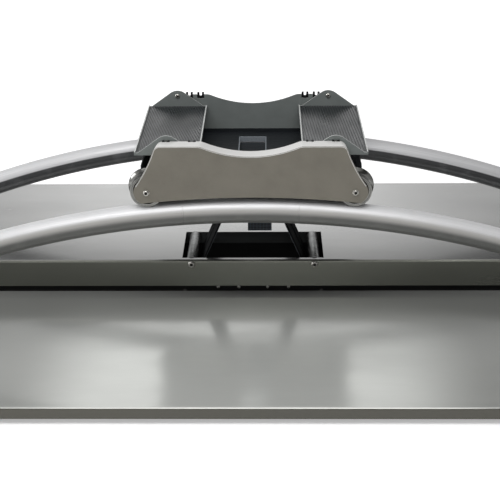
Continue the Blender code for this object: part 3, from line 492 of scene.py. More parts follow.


# elastic bands: extruded rubber with fine lines along the run, chalky bloom and a painted highlight along the
# front arris

bandLooks = {
    "bandRubber": {
        "colour": (0.005, 0.0055, 0.006), "chalk": (0.012, 0.012, 0.014), "wear": (0.10, 0.11, 0.12),
        "rough": 0.85, "gloss": 0.08,
        "lines": {"stretched": (4, 260, 4), "size": 0.25, "detail": 2},
        "lineSpan": (0.35, 0.65), "lineShades": (0.75, 1.3), "lineDepth": (0.0003, 0.4),
        "bloom": {"size": 0.02, "detail": 4, "soft": 0.65},
        "bloomSpan": (0.5, 0.8, 0, 0.35), "bloomRough": (-0.07, 0.06), "arrisSpan": (0.2, 0.8),
    },
}


def bandTexture(tree, where, look):
    lines = cloud(tree, where, **look["lines"])
    bloom = cloud(tree, where, **look["bloom"])
    base = twoShades(tree, remap(tree, lines, *look["lineSpan"]), look["colour"], look["lineShades"])
    base = blotted(tree, base, bloom, look["bloomSpan"], look["chalk"])
    # painted highlight along the front arris
    worn = remap(tree, marked(tree, "arris"), *look["arrisSpan"], smooth=True)
    base = tint(tree, worn, base, look["wear"])
    rough = wornRough(tree, bloom, look["rough"], look["bloomRough"])
    return base, rough, emboss(tree, lines, *look["lineDepth"])


finishes = {}
for texture, looks in (
        (deckTexture, deckLooks), (paintTexture, paintLooks), (railTexture, railLooks),
        (latheTexture, latheLooks), (boltTexture, boltLooks), (mouldTexture, mouldLooks),
        (matTexture, matLooks), (bandTexture, bandLooks)):
    for finishName, look in looks.items():
        finishes[finishName] = makeFinish(finishName, look, texture)
print("finishes made,", len(finishes))


# solids that stay: each finish, and how the names of its solids begin; the first that fits counts

nodeFinishes = {
    "frontSheet": ("front_deck",),
    "rearSheet": ("rear_deck",),
    "framePaint": ("front_floor_tube", "end_crossmember", "band_anchor"),
    "flangePaint": ("inner_beam_rear",),
    "sheetPaint": ("inner_beam", "rear_beam"),
    "boltBlack": ("guide_roller_axle",),
    "rollerMetal": ("guide_roller",),
    "footRubber": ("rail_stop", "foot_"),
    "coverPaint": ("cover_",),
    "platePaint": ("inner_plate", "tray_"),
    "blackMoulding": ("pan", "band_clamp"),
    "ribbedMoulding": ("band_tongue",),
    "seatMoulding": ("saddle_strip",),
}


def dressNodes():
    for name, solid in nodes.items():
        for finishName, heads in nodeFinishes.items():
            if name.startswith(heads):
                solid.data.materials.clear()
                solid.data.materials.append(finishes[finishName])
                break


dressNodes()
print("kept solids dressed")


# mesh helpers

sharpAngle = 38      # degrees; edges that turn less are shaded smooth


def settle(name, shape, finishName, body, stands, smooth=True):
    bmesh.ops.recalc_face_normals(shape, faces=shape.faces)
    mesh = bpy.data.meshes.new(name)
    shape.to_mesh(mesh)
    shape.free()
    piece = bpy.data.objects.new(name, mesh)
    bpy.context.scene.collection.objects.link(piece)
    mesh.materials.append(finishes[finishName])
    if smooth:
        mesh.polygons.foreach_set("use_smooth", [True] * len(mesh.polygons))
        mesh.set_sharp_from_angle(angle=math.radians(sharpAngle))
    if stands:
        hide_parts(*stands)
    if body:
        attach(piece, body)
    return piece


def skin(shape, loops, closed=False):
    # faces from each ring of corners to the next; a ring of one corner closes to a point
    for near, far in zip(loops, loops[1:]):
        steps = max(len(near), len(far))
        for i in range(steps):
            j = (i + 1) % steps
            if len(near) == 1:
                shape.faces.new((near[0], far[i], far[j]))
            elif len(far) == 1:
                shape.faces.new((near[i], near[j], far[0]))
            else:
                shape.faces.new((near[i], near[j], far[j], far[i]))
    if closed:
        shape.faces.new(loops[0])
        shape.faces.new(loops[-1])


def circle(radius):
    return lambda a: radius


def hexagon(across):
    # distance to the edge of a hexagon, by angle
    return lambda a: across / 2 / math.cos((a + math.pi / 6) % (math.pi / 3) - math.pi / 6)


def turnedRing(shape, form, x, y, z, steps):
    angles = [math.tau * i / steps for i in range(steps)]
    return [shape.verts.new((x + form(a) * math.cos(a), y, z + form(a) * math.sin(a))) for a in angles]


def lathe(shape, rings, x, y, z, outward, steps):
    # rings are (form of the ring, how far outward); one without a form is a point on the axis
    # the first two are the floor of a socket, marked so that the finish paints shade into it
    socketShade = shape.verts.layers.float.new("socketShade")
    loops = []
    for form, along in rings:
        ringY = y + outward * along
        if form is None:
            loops.append([shape.verts.new((x, ringY, z))])
        else:
            loops.append(turnedRing(shape, form, x, ringY, z, steps))
    skin(shape, loops)
    for corner in loops[0] + loops[1]:
        corner[socketShade] = 1


def tubeLathe(shape, profile, x, z, steps):
    # a ring-shaped turned piece: its profile (radius, y) closes on itself
    loops = [turnedRing(shape, circle(r), x, y, z, steps) for r, y in profile]
    skin(shape, loops + loops[:1])


# rails

railSizes = {
    "endAngle": 26.998, "sides": 48, "steps": 180, "wall": 0.003, "plugTurn": 1.0,
    "seams": {"front": (2.9, -4.1), "rear": (3.3, -3.1)},      # butt joints, degrees off the top
    "seamWidth": 0.0011, "seamDepth": 0.0005, "seamClear": 2.4,      # clear of other rings, in half widths
}


def buildRail(end, sign, s):
    shape = bmesh.new()
    reach, seamDepth = s["endAngle"], s["seamDepth"]
    half = math.degrees(s["seamWidth"] / railRadius) / 2
    stops = [(-reach + 2 * reach * i / s["steps"], 0.0) for i in range(s["steps"] + 1)]
    for seam in s["seams"][end]:
        stops = [(a, cut) for a, cut in stops if abs(a - seam) > half * s["seamClear"]]
        stops += [(seam + half * k, seamDepth if abs(k) == 1 else 0.0) for k in (-2, -1, 1, 2)]
    stops.sort()
    y = trackY + sign * gauge / 2

    def ring(angle, tube):
        a = math.radians(angle)
        loop = []
        for i in range(s["sides"]):
            b = math.tau * i / s["sides"]
            out = railRadius + tube * math.sin(b)
            height = arcCentre[2] + out * math.cos(a)
            loop.append(shape.verts.new((out * math.sin(a), y + tube * math.cos(b), height)))
        return loop

    first, last = stops[0][0], stops[-1][0]
    bore = railTube - s["wall"]
    outer = [ring(angle, railTube - cut) for angle, cut in stops]
    lowPlug = [ring(first, bore), ring(first + s["plugTurn"], bore)]
    highPlug = [ring(last - s["plugTurn"], bore), ring(last, bore)]
    for loops in (outer, lowPlug, highPlug, (outer[0], lowPlug[0]), (highPlug[1], outer[-1])):
        skin(shape, loops)
    shape.faces.new(lowPlug[1])      # each open end is closed a little way in
    shape.faces.new(highPlug[0])
    settle("railTube_" + end, shape, "rail" + end.title(), "base", ["rail_" + end])


for end, sign in ends.items():
    buildRail(end, sign, railSizes)
print("rails drawn")


# wheels: a low lip outside, a tall flange inside, both faces recessed round the hub

wheelSizes = {
    "roll": 0.0375, "ease": 0.001, "steps": 72,      # rolling radius, and play round the rail's tube
    # radius and distance outward from the wheel's middle
    "outer": ((0.0053, 0.0220), (0.0134, 0.0220), (0.0140, 0.0214), (0.0146, 0.0136), (0.0152, 0.0130),
              (0.0298, 0.0130), (0.0306, 0.0134), (0.0316, 0.0155), (0.0322, 0.0160), (0.0343, 0.0160),
              (0.0347, 0.0152), (0.0355, 0.0152), (0.0359, 0.0160), (0.0385, 0.0160), (0.0393, 0.0156),
              (0.0395, 0.0148), (0.0393, 0.0100)),
    "inner": ((0.0464, -0.0206), (0.0465, -0.0213), (0.0461, -0.0218), (0.0454, -0.0220), (0.0322, -0.0220),
              (0.0316, -0.0215), (0.0306, -0.0194), (0.0298, -0.0190), (0.0152, -0.0190), (0.0146, -0.0196),
              (0.0140, -0.0214), (0.0134, -0.0220), (0.0053, -0.0220)),
    "grooveRadii": (0.0389, 0.0459), "grooveSteps": 16,
}


def buildWheels(s):
    curve = railTube + s["ease"]
    start, stop = [math.sqrt(curve ** 2 - (curve - (r - s["roll"])) ** 2) for r in s["grooveRadii"]]
    groove = []
    for i in range(s["grooveSteps"] + 1):
        y = start - (start + stop) * i / s["grooveSteps"]
        groove.append((s["roll"] + curve - math.sqrt(curve ** 2 - y ** 2), y))
    outline = list(s["outer"]) + groove + list(s["inner"])
    for end, outward, side, across in carriageCorners:
        name = end + "_" + side
        shape = bmesh.new()
        profile = [(r, trackY + outward * (gauge / 2 + y)) for r, y in outline]
        tubeLathe(shape, profile, across * wheelHub[0], wheelHub[1], s["steps"])
        settle("groovedWheel_" + name, shape, "wheelMetal", "wheel_" + name, ["wheel_" + name])


buildWheels(wheelSizes)
print("wheels turned")


# button-head bolts: a dome with a hexagon socket, on the shaft that the wheel or pin needs

domeForm = {
    "lip": 0.0002, "flare": 1.07,      # upper edge of the socket
    "startAngle": 15, "steps": 6, "mouth": 0.62, "skirt": 0.18,      # shares of the socket and the height
    "foot": 0.04, "footEase": 0.97,      # down to the seat
}
boltGap = 0.0003      # between a bolt and the piece that it passes or seats on
boltSteps = 24


def domeHead(s, seat, way):
    # rings from the socket's floor out over the dome and back to the seat; way is 1 outward, -1 inward
    f = domeForm
    radius, height, socket = s["head"], s["height"], s["socket"]
    floor = height - s["socketDepth"]
    rings = [(None, floor), (hexagon(socket), floor), (hexagon(socket), height - f["lip"]),
             (hexagon(socket * f["flare"]), height)]
    first = math.radians(f["startAngle"])
    mouth = socket * f["mouth"]
    for i in range(1, f["steps"] + 1):
        a = first + (math.pi / 2 - first) * i / f["steps"]
        r = mouth + (radius - mouth) * (math.sin(a) - math.sin(first)) / (1 - math.sin(first))
        rings.append((circle(r), height * (f["skirt"] + (1 - f["skirt"]) * math.cos(a) / math.cos(first))))
    rings += [(circle(radius), height * f["foot"]), (circle(radius * f["footEase"]), 0)]
    return [(form, seat + way * along) for form, along in rings]


wheelBoltSizes = {
    "head": 0.0070, "height": 0.0045, "socket": 0.0070, "socketDepth": 0.0038,
    "washer": 0.0075, "washerThick": 0.0007, "washerEase": 0.00005, "shaft": 0.005, "sleeve": 0.010,
    "coverOuter": 0.2755, "sleeveOuter": 0.2277, "plateOuter": 0.1965, "plateInner": 0.1935,
}


def buildWheelBolts(s):
    washer, shaft, sleeve = (circle(s[k]) for k in ("washer", "shaft", "sleeve"))
    seat, plateOuter, plateInner = (s[k] + boltGap for k in ("coverOuter", "plateOuter", "plateInner"))
    rings = domeHead(s, seat + s["washerThick"], 1)
    rings += [(washer, seat + s["washerThick"] - s["washerEase"]), (washer, seat), (shaft, seat),
              (shaft, s["sleeveOuter"]), (sleeve, s["sleeveOuter"]), (sleeve, plateOuter),
              (shaft, plateOuter), (shaft, plateInner), (None, plateInner)]
    for end, outward, side, across in carriageCorners:
        shape = bmesh.new()
        lathe(shape, rings, across * wheelHub[0], trackY, wheelHub[1], outward, boltSteps)
        name = end + "_" + side
        settle("wheelBolt_" + name, shape, "boltZinc", "carriage", ["wheel_axle_" + name])


buildWheelBolts(wheelBoltSizes)

pivotBoltSizes = {
    "z": 0.5228, "head": 0.0063, "height": 0.0042, "socket": 0.0058, "socketDepth": 0.0030,
    "pin": 0.0032, "earInner": 0.1861, "tip": 0.20280, "chamfer": 0.0008,
}


def buildPivotBolts(s):
    seat = s["earInner"] - boltGap
    pin, tip = circle(s["pin"]), circle(s["pin"] - s["chamfer"])
    rings = domeHead(s, seat, -1)      # the head is inside the tray, the pin runs outward
    rings += [(pin, seat), (pin, s["tip"] - s["chamfer"]), (tip, s["tip"]), (None, s["tip"])]
    for end, outward, side, across in carriageCorners:
        shape = bmesh.new()
        lathe(shape, rings, across * pivotX, trackY, s["z"], outward, boltSteps)
        name = side + "_" + end
        tray = "foot_tray_" + side
        settle("pivotBolt_" + name, shape, "boltZinc", tray, ["pivot_pin_" + name])


buildPivotBolts(pivotBoltSizes)

rollerSizes = {
    "front": 0.0219, "rear": 0.1926, "steps": 48,
    # radius and depth of the roller's end, from the bore to the rim
    "endFace": ((0.0053, 0), (0.0088, 0), (0.0092, 0.0015), (0.0118, 0.0015), (0.0122, 0), (0.0132, 0),
                (0.0142, 0.0005), (0.0146, 0.0016)),
    "faceY": 0.0052, "back": 0.1989, "shaft": 0.005, "head": 0.0090, "height": 0.0052, "socket": 0.0082,
    "socketDepth": 0.0038, "nut": 0.01581, "nutTop": 0.00748, "nutThick": 0.007, "nutChamfer": 0.0008,
}


def buildRollers(s):
    face, back = s["faceY"] - boltGap, s["back"] + boltGap
    nutEnd = s["back"] + s["nutThick"]
    shaft, nut, nutTop = circle(s["shaft"]), hexagon(s["nut"]), circle(s["nutTop"])
    profile = [(r, s["front"] + deep) for r, deep in s["endFace"]]
    profile += [(r, s["rear"] - deep) for r, deep in reversed(s["endFace"])]
    rings = domeHead(s, face, -1)
    rings += [(shaft, face), (shaft, back), (nut, back), (nut, nutEnd - s["nutChamfer"]), (nutTop, nutEnd),
              (None, nutEnd)]
    for side, across in sides.items():
        shape = bmesh.new()
        tubeLathe(shape, profile, across * rollerHub[0], rollerHub[1], s["steps"])
        settle("deckRoller_" + side, shape, "rollerMetal", "deck_roller_" + side,
               ["deck_roller_" + side])
        shape = bmesh.new()
        lathe(shape, rings, across * rollerHub[0], 0, rollerHub[1], 1, boltSteps)
        settle("rollerBolt_" + side, shape, "boltZinc", "base", ["deck_roller_axle_" + side])


buildRollers(rollerSizes)


# small screws in the inner beam, under the edge of the folded face

beamScrewSizes = {
    "xs": (-0.093, -0.038, 0.039, 0.095), "y": 0.0115, "z": 0.0566,
    "head": 0.0042, "height": 0.0034, "socket": 0.0026, "socketDepth": 0.0012,
}


def buildBeamScrews(s):
    for number, x in enumerate(s["xs"]):
        shape = bmesh.new()
        lathe(shape, domeHead(s, s["y"], -1) + [(None, s["y"])], x, 0, s["z"], 1, boltSteps)
        settle("beamScrew_%d" % (number + 1), shape, "boltZinc", "base", [])


buildBeamScrews(beamScrewSizes)
print("bolts, rollers and screws turned")


# foot mats with slanted ribs

matSizes = {
    "halfWidth": 0.0749, "halfLength": 0.1853, "bottom": 0.4913, "slab": 0.0012, "top": 0.4943,
    "corner": 0.004, "cornerSteps": 4, "border": 0.0026, "borderSlope": 0.0006, "round": 0.0007,
    "pitch": 0.0068, "rib": 0.0040, "crest": 0.0030, "crestInset": 0.0004, "sink": 0.0002,
    "slants": {"left": -13.7, "right": -3.5},
}


def clipped(polygon, limits):
    # keeps what lies inside the rectangle (low x, low y, high x, high y)
    for number, bound in enumerate(limits):
        axis, keep = number % 2, 1 if number < 2 else -1
        result = []
        for i, corner in enumerate(polygon):
            after = polygon[(i + 1) % len(polygon)]
            here = (corner[axis] - bound) * keep
            there = (after[axis] - bound) * keep
            if here >= 0:
                result.append(corner)
            if here * there < 0:
                t = here / (here - there)
                result.append(tuple(c + (a - c) * t for c, a in zip(corner, after)))
        polygon = result
    return polygon


def matRibs(shape, side, middle, slabTop, s):
    # slanted ribs, cut off at the border, with a crest narrower than the foot
    hw, hl, inset = s["halfWidth"], s["halfLength"], s["border"] + s["borderSlope"]
    slant = math.tan(math.radians(s["slants"][side]))
    count = int((hw + hl * abs(slant)) / s["pitch"]) + 1
    for n in range(-count, count + 1):
        levels = []
        for width, more in ((s["rib"], 0.0), (s["crest"], s["crestInset"])):
            strip = [(n * s["pitch"] + kx * width / 2 + ky * hl * slant, ky * hl)
                     for kx, ky in ((-1, -1), (1, -1), (1, 1), (-1, 1))]
            x, y = hw - inset - more, hl - inset - more
            levels.append(clipped(strip, (-x, -y, x, y)))
        foot, crest = levels
        if len(foot) < 3 or len(foot) != len(crest):
            continue
        lower = [shape.verts.new((middle + x, trackY + y, slabTop - s["sink"])) for x, y in foot]
        upper = [shape.verts.new((middle + x, trackY + y, s["top"] - s["sink"])) for x, y in crest]
        shape.faces.new(list(reversed(lower)))
        shape.faces.new(upper)
        skin(shape, (lower, upper))


def buildMat(side, sign, s):
    shape = bmesh.new()
    top, edge, border = s["top"], s["round"], s["border"]
    slabTop = s["bottom"] + s["slab"]
    middle = sign * pivotX

    def outline(inset, z):
        corners = []
        radius = s["corner"] - inset
        for cx, cy, start in ((1, 1, 0), (-1, 1, 90), (-1, -1, 180), (1, -1, 270)):
            x = middle + cx * (s["halfWidth"] - s["corner"])
            y = trackY + cy * (s["halfLength"] - s["corner"])
            for i in range(s["cornerSteps"] + 1):
                a = math.radians(start + 90 * i / s["cornerSteps"])
                corners.append(shape.verts.new((x + radius * math.cos(a), y + radius * math.sin(a), z)))
        return corners

    loops = [outline(edge, s["bottom"]), outline(0, s["bottom"] + edge), outline(0, top - edge),
             outline(edge, top), outline(border - s["borderSlope"], top), outline(border, slabTop)]
    skin(shape, loops, closed=True)
    matRibs(shape, side, middle, slabTop, s)
    settle("ribbedMat_" + side, shape, "matRubber", "foot_tray_" + side, ["mat_" + side])


for side, sign in sides.items():
    buildMat(side, sign, matSizes)
print("mats ribbed")


# pale liner of the pan's window, a painted highlight on the window's lit edges: a narrow rim on the floor and
# thin walls down the collar

linerSizes = {
    "halfWidth": 0.0344, "front": -0.0024, "rear": 0.1840, "wall": 0.0006, "rim": 0.0020,
    "top": 0.4204, "floor": 0.4198, "bottom": 0.4064, "round": 0.0002,
}


def buildLiner(s):
    shape = bmesh.new()
    wall, rim, top, ease = s["wall"], s["rim"], s["top"], s["round"]

    def ring(grow, z):
        x, front, rear = s["halfWidth"] + grow, s["front"] - grow, s["rear"] + grow
        return [shape.verts.new((*corner, z)) for corner in ((-x, front), (x, front), (x, rear), (-x, rear))]

    loops = [ring(-wall, s["bottom"]), ring(-wall, top - ease), ring(ease - wall, top), ring(rim - ease, top),
             ring(rim, top - ease), ring(rim, s["floor"]), ring(0, s["floor"]), ring(0, s["bottom"])]
    skin(shape, loops + loops[:1])
    # painted highlight on the window's edges
    settle("windowHighlightLiner", shape, "windowHighlightMetal", "carriage", [], smooth=False)


buildLiner(linerSizes)


# rolled edge of the front cover: a rounded bead along the top and down both flanks, in a pale paint that is a
# painted highlight

edgeSizes = {
    "lobe": 0.030, "lobeTurn": 3, "corner": (0.222, 0.5393), "cornerRadius": 0.017, "hollow": 0.34,
    "dipDepth": 0.025, "dipRadius": 0.29, "dipFillet": 0.030, "faceY": -0.2380, "slope": 0.1817,
    "bead": 0.0022, "proud": 0.0003, "beadSteps": 6, "inside": (0, 0.44),      # a point within the outline
    "flankSteps": 24, "cornerSteps": 10, "filletSteps": 8, "dipSteps": 16,
}


def arc(centre, radius, start, end, steps):
    angles = [math.radians(start + (end - start) * i / steps) for i in range(steps + 1)]
    return [Vector((centre[0] + radius * math.cos(a), centre[1] + radius * math.sin(a))) for a in angles]


def headingTo(start, end):
    return math.degrees(math.atan2(end.y - start.y, end.x - start.x))


def coverPath(s):
    # right half of the cover's upper outline, from the wheel's lobe to the middle of the dip
    hub, corner = Vector(wheelHub), Vector(s["corner"])
    spoke = corner - hub
    reach = s["hollow"] + s["lobe"]
    along = (reach ** 2 - s["hollow"] ** 2 + spoke.length ** 2) / (2 * spoke.length)
    unit = spoke.normalized()
    centre = hub + unit * along + Vector((unit.y, -unit.x)) * math.sqrt(reach ** 2 - along ** 2)
    touch = headingTo(hub, centre)
    path = [arc(hub, s["lobe"], touch - s["lobeTurn"], touch, 1)[0]]
    low, high = (headingTo(centre, p) % 360 for p in (hub, corner))
    flank = arc(centre, s["hollow"], low, high, s["flankSteps"])
    flank = [p for p in flank if (p - corner).length > s["cornerRadius"]]
    path += flank[1:]
    # the rounded upper corner
    before = (flank[-1] - corner).normalized()
    half = math.acos(-before.x) / 2
    middle = corner + (before + Vector((-1, 0))).normalized() * (s["cornerRadius"] / math.sin(half))
    touchIn = corner + before * (s["cornerRadius"] / math.tan(half))
    path += arc(middle, s["cornerRadius"], headingTo(middle, touchIn), 90, s["cornerSteps"])
    # over the fillet and down into the dip
    both = s["dipRadius"] + s["dipFillet"]
    filletX = math.sqrt(both ** 2 - (both - s["dipDepth"]) ** 2)
    swing = math.degrees(math.asin(filletX / both))
    top = s["corner"][1]
    path += arc((filletX, top - s["dipFillet"]), s["dipFillet"], 90, 90 + swing, s["filletSteps"])
    dipCentre = (0, top - s["dipDepth"] + s["dipRadius"])
    path += arc(dipCentre, s["dipRadius"], swing - 90, -90, s["dipSteps"])[1:]
    return path


def buildCoverEdge(s):
    right = coverPath(s)
    path = right + [Vector((-p.x, p.y)) for p in reversed(right[:-1])]
    bead, proud = s["bead"], s["proud"]
    # how deep and how far back: a chord inside the sheet, the rounded face over it, a fold inward
    section = [(bead, -proud)]
    for k in range(s["beadSteps"], -1, -1):
        a = math.pi / 2 * k / s["beadSteps"]
        section.append((bead - (bead + proud) * math.sin(a), bead - (bead + proud) * math.cos(a)))
    section.append((bead, bead))
    shape = bmesh.new()
    loops = []
    for i, point in enumerate(path):
        ahead = (path[min(i + 1, len(path) - 1)] - path[max(i - 1, 0)]).normalized()
        inward = Vector((-ahead.y, ahead.x))
        if inward.dot(Vector(s["inside"]) - point) < 0:
            inward = -inward
        loop = []
        for deep, back in section:
            spot = point + inward * deep
            loop.append(shape.verts.new((spot.x, s["faceY"] + back, spot.y - max(back, 0) * s["slope"])))
        loops.append(loop)
    skin(shape, loops, closed=True)
    # the bead's pale paint is a painted highlight
    settle("coverEdge_front", shape, "edgeHighlightPaint", "carriage", [])


buildCoverEdge(edgeSizes)
print("liner and rolled edge made")


# elastic bands: two flat bands a side, rounded edges and shallow lengthwise ribs

bandSizes = {
    "jointX": 0.1254, "jointZ": 0.1377, "lean": 23.2, "topZ": 0.380, "middleY": 0.10725, "split": 0.010,
    "width": 0.050, "thick": 0.004, "flat": 0.0016, "ribs": 9, "ribSteps": 4, "ribDepth": 0.00035,
    # the long edges: distance in from the side, share of half the thickness, painted highlight
    "rearEdge": ((0.0004, 0.62, 0), (0, 0, 0), (0.0004, -0.62, 0)),
    "frontEdge": ((0.0004, -0.62, 0), (0, 0, 0), (0.0002, 0.4, 0.2), (0.0005, 0.7, 1), (0.0011, 0.95, 1)),
    "spread": 1.27, "swell": 1.35, "steps": 32, "pinch": 4, "flare": 6,      # pinch and flare are in steps
    "tieLength": 0.018, "tieThick": 0.008, "tieChamfer": 0.0012, "tieSteps": 3, "gap": 0.0003,
    "guideX": 0.18298, "guideZ": 0.046, "guideRadius": 0.0145, "wrapSteps": 14,
    "anchorX": 0.9044, "runStops": (0.7, 0.45),
}


def bandSection(s, front):
    # points (y, height, wear) round one band's cross-section
    half = s["thick"] / 2
    rear = front + s["width"]
    count = s["ribs"] * s["ribSteps"]
    upper = []
    for i in range(count + 1):
        t = i / count
        wave = s["ribDepth"] * (0.5 - 0.5 * math.cos(math.tau * s["ribs"] * t))
        upper.append((front + s["flat"] + (s["width"] - 2 * s["flat"]) * t, half - wave, 0))
    edge = [(rear - inset, half * share, wear) for inset, share, wear in s["rearEdge"]]
    nose = [(front + inset, half * share, wear) for inset, share, wear in s["frontEdge"]]
    return upper + edge + [(y, -h, 0) for y, h, wear in reversed(upper)] + nose


def sweepBand(shape, path, section, sign, middle=0, spreads=None, swell=1):
    arris = shape.verts.layers.float.get("arris") or shape.verts.layers.float.new("arris")
    loops = []
    for i, point in enumerate(path):
        ahead = Vector(path[min(i + 1, len(path) - 1)]) - Vector(path[max(i - 1, 0)])
        ahead.normalize()
        lift = Vector((-ahead.y, ahead.x)) * swell
        spread = spreads[i] if spreads else 1
        loop = []
        for y, h, wear in section:
            x, z = point[0] + lift.x * h, point[1] + lift.y * h
            corner = shape.verts.new((sign * x, middle + (y - middle) * spread, z))
            corner[arris] = wear
            loop.append(corner)
        loops.append(loop)
    skin(shape, loops, closed=True)


def tieSection(s):
    # the clip that holds a pair of bands together at its end
    half, c = s["tieThick"] / 2, s["tieChamfer"]
    reach = s["width"] + s["split"] / 2 + s["gap"]
    low, high = s["middleY"] - reach, s["middleY"] + reach
    corners = ((low, -half + c), (low, half - c), (low + c, half), (high - c, half), (high, half - c),
               (high, -half + c), (high - c, -half), (low + c, -half))
    return [(y, h, 0) for y, h in corners]


def freeBand(side, sign, fronts, joint, top, up, s):
    # from the deck roller up to the carriage, pinched together in the clip
    shape = bmesh.new()
    foot, steps = up * s["gap"] / 2, s["steps"]
    path = [tuple(joint + foot + (top - joint - foot) * i / steps) for i in range(steps + 1)]
    spreads = [1 + (s["spread"] - 1) * min(1, (steps - i) / s["pinch"]) for i in range(steps + 1)]
    for front in fronts:
        sweepBand(shape, path, bandSection(s, front), sign, s["middleY"], spreads, s["swell"])
    ties = range(s["tieSteps"] + 1)
    tie = [tuple(top - up * s["tieLength"] * (1 - i / s["tieSteps"])) for i in ties]
    sweepBand(shape, tie, tieSection(s), sign)
    band = settle("pullBand_" + side, shape, "bandRubber", None, ["band_free_" + side])
    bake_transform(band)


def innerBand(side, sign, fronts, joint, up, s):
    # from the deck roller down round the guide roller and along the floor to the anchor
    shape = bmesh.new()
    turn = s["guideRadius"] + s["gap"] + s["thick"] / 2
    runZ = s["guideZ"] - turn
    wrap = []
    for i in range(s["wrapSteps"] + 1):
        a = math.radians(270 - (90 - s["lean"]) * i / s["wrapSteps"])
        wrap.append((s["guideX"] + turn * math.cos(a), s["guideZ"] + turn * math.sin(a)))
    flat = [(x, runZ) for x in (s["anchorX"], *s["runStops"])]
    run = flat + wrap + [tuple(joint - up * s["gap"] / 2)]
    spreads = [1] * len(flat)
    spreads += [1 + (s["spread"] - 1) * min(1, i / s["flare"]) for i in range(len(wrap) + 1)]
    for front in fronts:
        sweepBand(shape, run, bandSection(s, front), sign, s["middleY"], spreads)
    tie = [(s["anchorX"], runZ), (s["anchorX"] - s["tieLength"], runZ)]
    sweepBand(shape, tie, tieSection(s), sign)
    settle("innerBand_" + side, shape, "bandRubber", "base", ["band_inner_run_" + side])


def buildBands(s):
    lean = math.radians(s["lean"])
    up = Vector((-math.sin(lean), math.cos(lean)))
    joint = Vector((s["jointX"], s["jointZ"]))
    top = joint + up * ((s["topZ"] - s["jointZ"]) / math.cos(lean) - s["gap"])
    fronts = (s["middleY"] - s["width"] - s["split"] / 2, s["middleY"] + s["split"] / 2)
    for side, sign in sides.items():
        freeBand(side, sign, fronts, joint, top, up, s)
        innerBand(side, sign, fronts, joint, up, s)


buildBands(bandSizes)
print("bands stretched")


# floor, world and lamps

floorLook = {
    "colour": (0.86, 0.86, 0.86), "size": 40.0, "squares": 8, "rough": 0.85,
    "fleck": {"size": 0.3, "detail": 3}, "fleckShades": (0.995, 1),
    "lift": 0.37, "farFrom": (0.9, 2.6), "farLift": 0.4,
}


def buildFloor(s):
    shape = bmesh.new()
    bmesh.ops.create_grid(shape, x_segments=s["squares"], y_segments=s["squares"], size=s["size"] / 2)
    mesh = bpy.data.meshes.new("paleFloor")
    shape.to_mesh(mesh)
    shape.free()
    floor = bpy.data.objects.new("paleFloor", mesh)
    bpy.context.scene.collection.objects.link(floor)
    finish, tree, shader = startFinish("paleFloor", s)
    where = place(tree)
    fleck = remap(tree, cloud(tree, where, **s["fleck"]), *noiseSpan)
    tree.links.new(twoShades(tree, fleck, s["colour"], s["fleckShades"]), shader.inputs["Base Color"])
    shader.inputs["Emission Color"].default_value = (1, 1, 1, 1)
    rays = tree.nodes.new("ShaderNodeLightPath")
    seen = reckon(tree, "MAXIMUM", rays.outputs["Is Camera Ray"], rays.outputs["Is Glossy Ray"])
    seen = reckon(tree, "MAXIMUM", seen, rays.outputs["Is Transmission Ray"])
    # the far floor gets less of the lamps, so it is lifted a little more where it is seen directly
    away = distance(tree, axisOf(tree, where, 1), axisOf(tree, where, 0))
    extra = remap(tree, away, *s["farFrom"], 0, s["farLift"], smooth=True)
    extra = reckon(tree, "MULTIPLY", extra, rays.outputs["Is Camera Ray"])
    lift = reckon(tree, "ADD", reckon(tree, "MULTIPLY", seen, s["lift"]), extra)
    tree.links.new(lift, shader.inputs["Emission Strength"])
    mesh.materials.append(finish)


# the From values are where a level starts and ends, as parts of a ray's direction
worldLevels = {
    "ambient": 0.5, "frontFrom": (-0.55, 0.45), "frontLevel": 0.45, "backLevel": 1.0,
    "topFrom": (0.7, 0.95), "topLevel": 0.9,
    "rightFrom": (0.05, 0.20), "rightLevel": 0.08, "leftFrom": (-0.12, -0.26), "leftLevel": 0.2,
    "steepFrom": (0.40, 0.50), "shallow": 0.5, "panelFrom": (-0.55, -0.72), "panelLevel": 0.9,
}


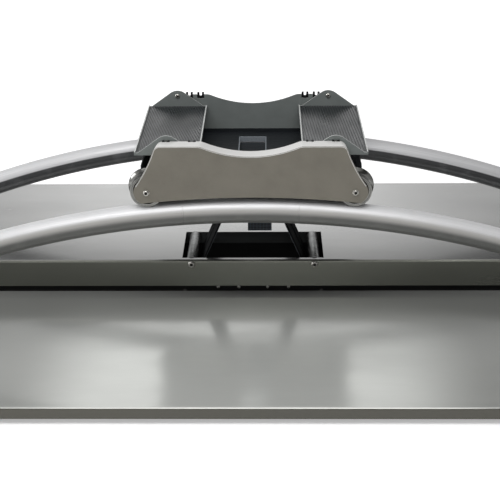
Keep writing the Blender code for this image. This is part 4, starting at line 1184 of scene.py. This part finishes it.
def buildWorld(s):
    # pale behind and overhead and dimmer in front, as in a room with one white backdrop
    # what metal mirrors is also dimmer on both sides, with a pale panel far out on the left
    world = bpy.data.worlds.new("studioWorld")
    bpy.context.scene.world = world
    world.use_nodes = True
    tree = world.node_tree
    tree.nodes.clear()
    output = tree.nodes.new("ShaderNodeOutputWorld")
    heading = tree.nodes.new("ShaderNodeTexCoord").outputs["Generated"]
    aside, ahead, height = (axisOf(tree, heading, axis) for axis in range(3))
    level = remap(tree, ahead, *s["frontFrom"], s["frontLevel"], s["backLevel"], smooth=True)
    rays = tree.nodes.new("ShaderNodeLightPath")
    mirrored = reckon(tree, "MAXIMUM", rays.outputs["Is Glossy Ray"], rays.outputs["Is Transmission Ray"])
    flank = reckon(tree, "MULTIPLY", remap(tree, aside, *s["rightFrom"], 1, s["rightLevel"], smooth=True),
                   remap(tree, aside, *s["leftFrom"], 1, s["leftLevel"], smooth=True))
    steep = remap(tree, height, *s["steepFrom"], s["shallow"], 1, smooth=True)
    flank = reckon(tree, "SUBTRACT", 1, reckon(tree, "MULTIPLY", reckon(tree, "SUBTRACT", 1, flank), steep))
    panel = remap(tree, aside, *s["panelFrom"], 0, s["panelLevel"], smooth=True)
    flank = reckon(tree, "MAXIMUM", flank, panel)
    overhead = remap(tree, height, *s["topFrom"], 0, s["topLevel"], smooth=True)
    mirror = reckon(tree, "MAXIMUM", reckon(tree, "MULTIPLY", level, flank), overhead)
    level = reckon(tree, "MULTIPLY", reckon(tree, "MAXIMUM", level, overhead), s["ambient"])
    level = reckon(tree, "ADD", reckon(tree, "MULTIPLY", mirror, mirrored),
                   reckon(tree, "MULTIPLY", level, reckon(tree, "SUBTRACT", 1, mirrored)))
    level = reckon(tree, "MAXIMUM", level, rays.outputs["Is Camera Ray"])
    soft = tree.nodes.new("ShaderNodeBackground")
    soft.inputs["Color"].default_value = (1, 1, 1, 1)
    tree.links.new(level, soft.inputs["Strength"])
    tree.links.new(soft.outputs[0], output.inputs["Surface"])


lampLooks = {
    "topSoftbox": {"place": (-0.4, -1.8, 3.2), "aim": (0, 0, 0.3), "size": (3.4, 1.7), "watts": 86},
    "leftSoftbox": {"place": (-3.6, 0.2, 1.5), "aim": (0, 0, 0.25), "size": (1.4, 1.4), "watts": 60},
    "cameraGlint": {"place": (0.1, -3.2, 1.9), "aim": (0, -0.2, 0.35), "size": (0.9, 0.12), "watts": 4},
}


def buildLamp(name, s):
    light = bpy.data.lights.new(name, "AREA")
    light.shape = "RECTANGLE"
    light.size, light.size_y = s["size"]
    light.energy = s["watts"]
    lamp = bpy.data.objects.new(name, light)
    bpy.context.scene.collection.objects.link(lamp)
    lamp.location = s["place"]
    lamp.rotation_euler = (Vector(s["aim"]) - Vector(s["place"])).to_track_quat("-Z", "Y").to_euler()


buildFloor(floorLook)
buildWorld(worldLevels)
for lampName, lampLook in lampLooks.items():
    buildLamp(lampName, lampLook)
bpy.context.scene.view_settings.view_transform = "Standard"
print("studio lit")
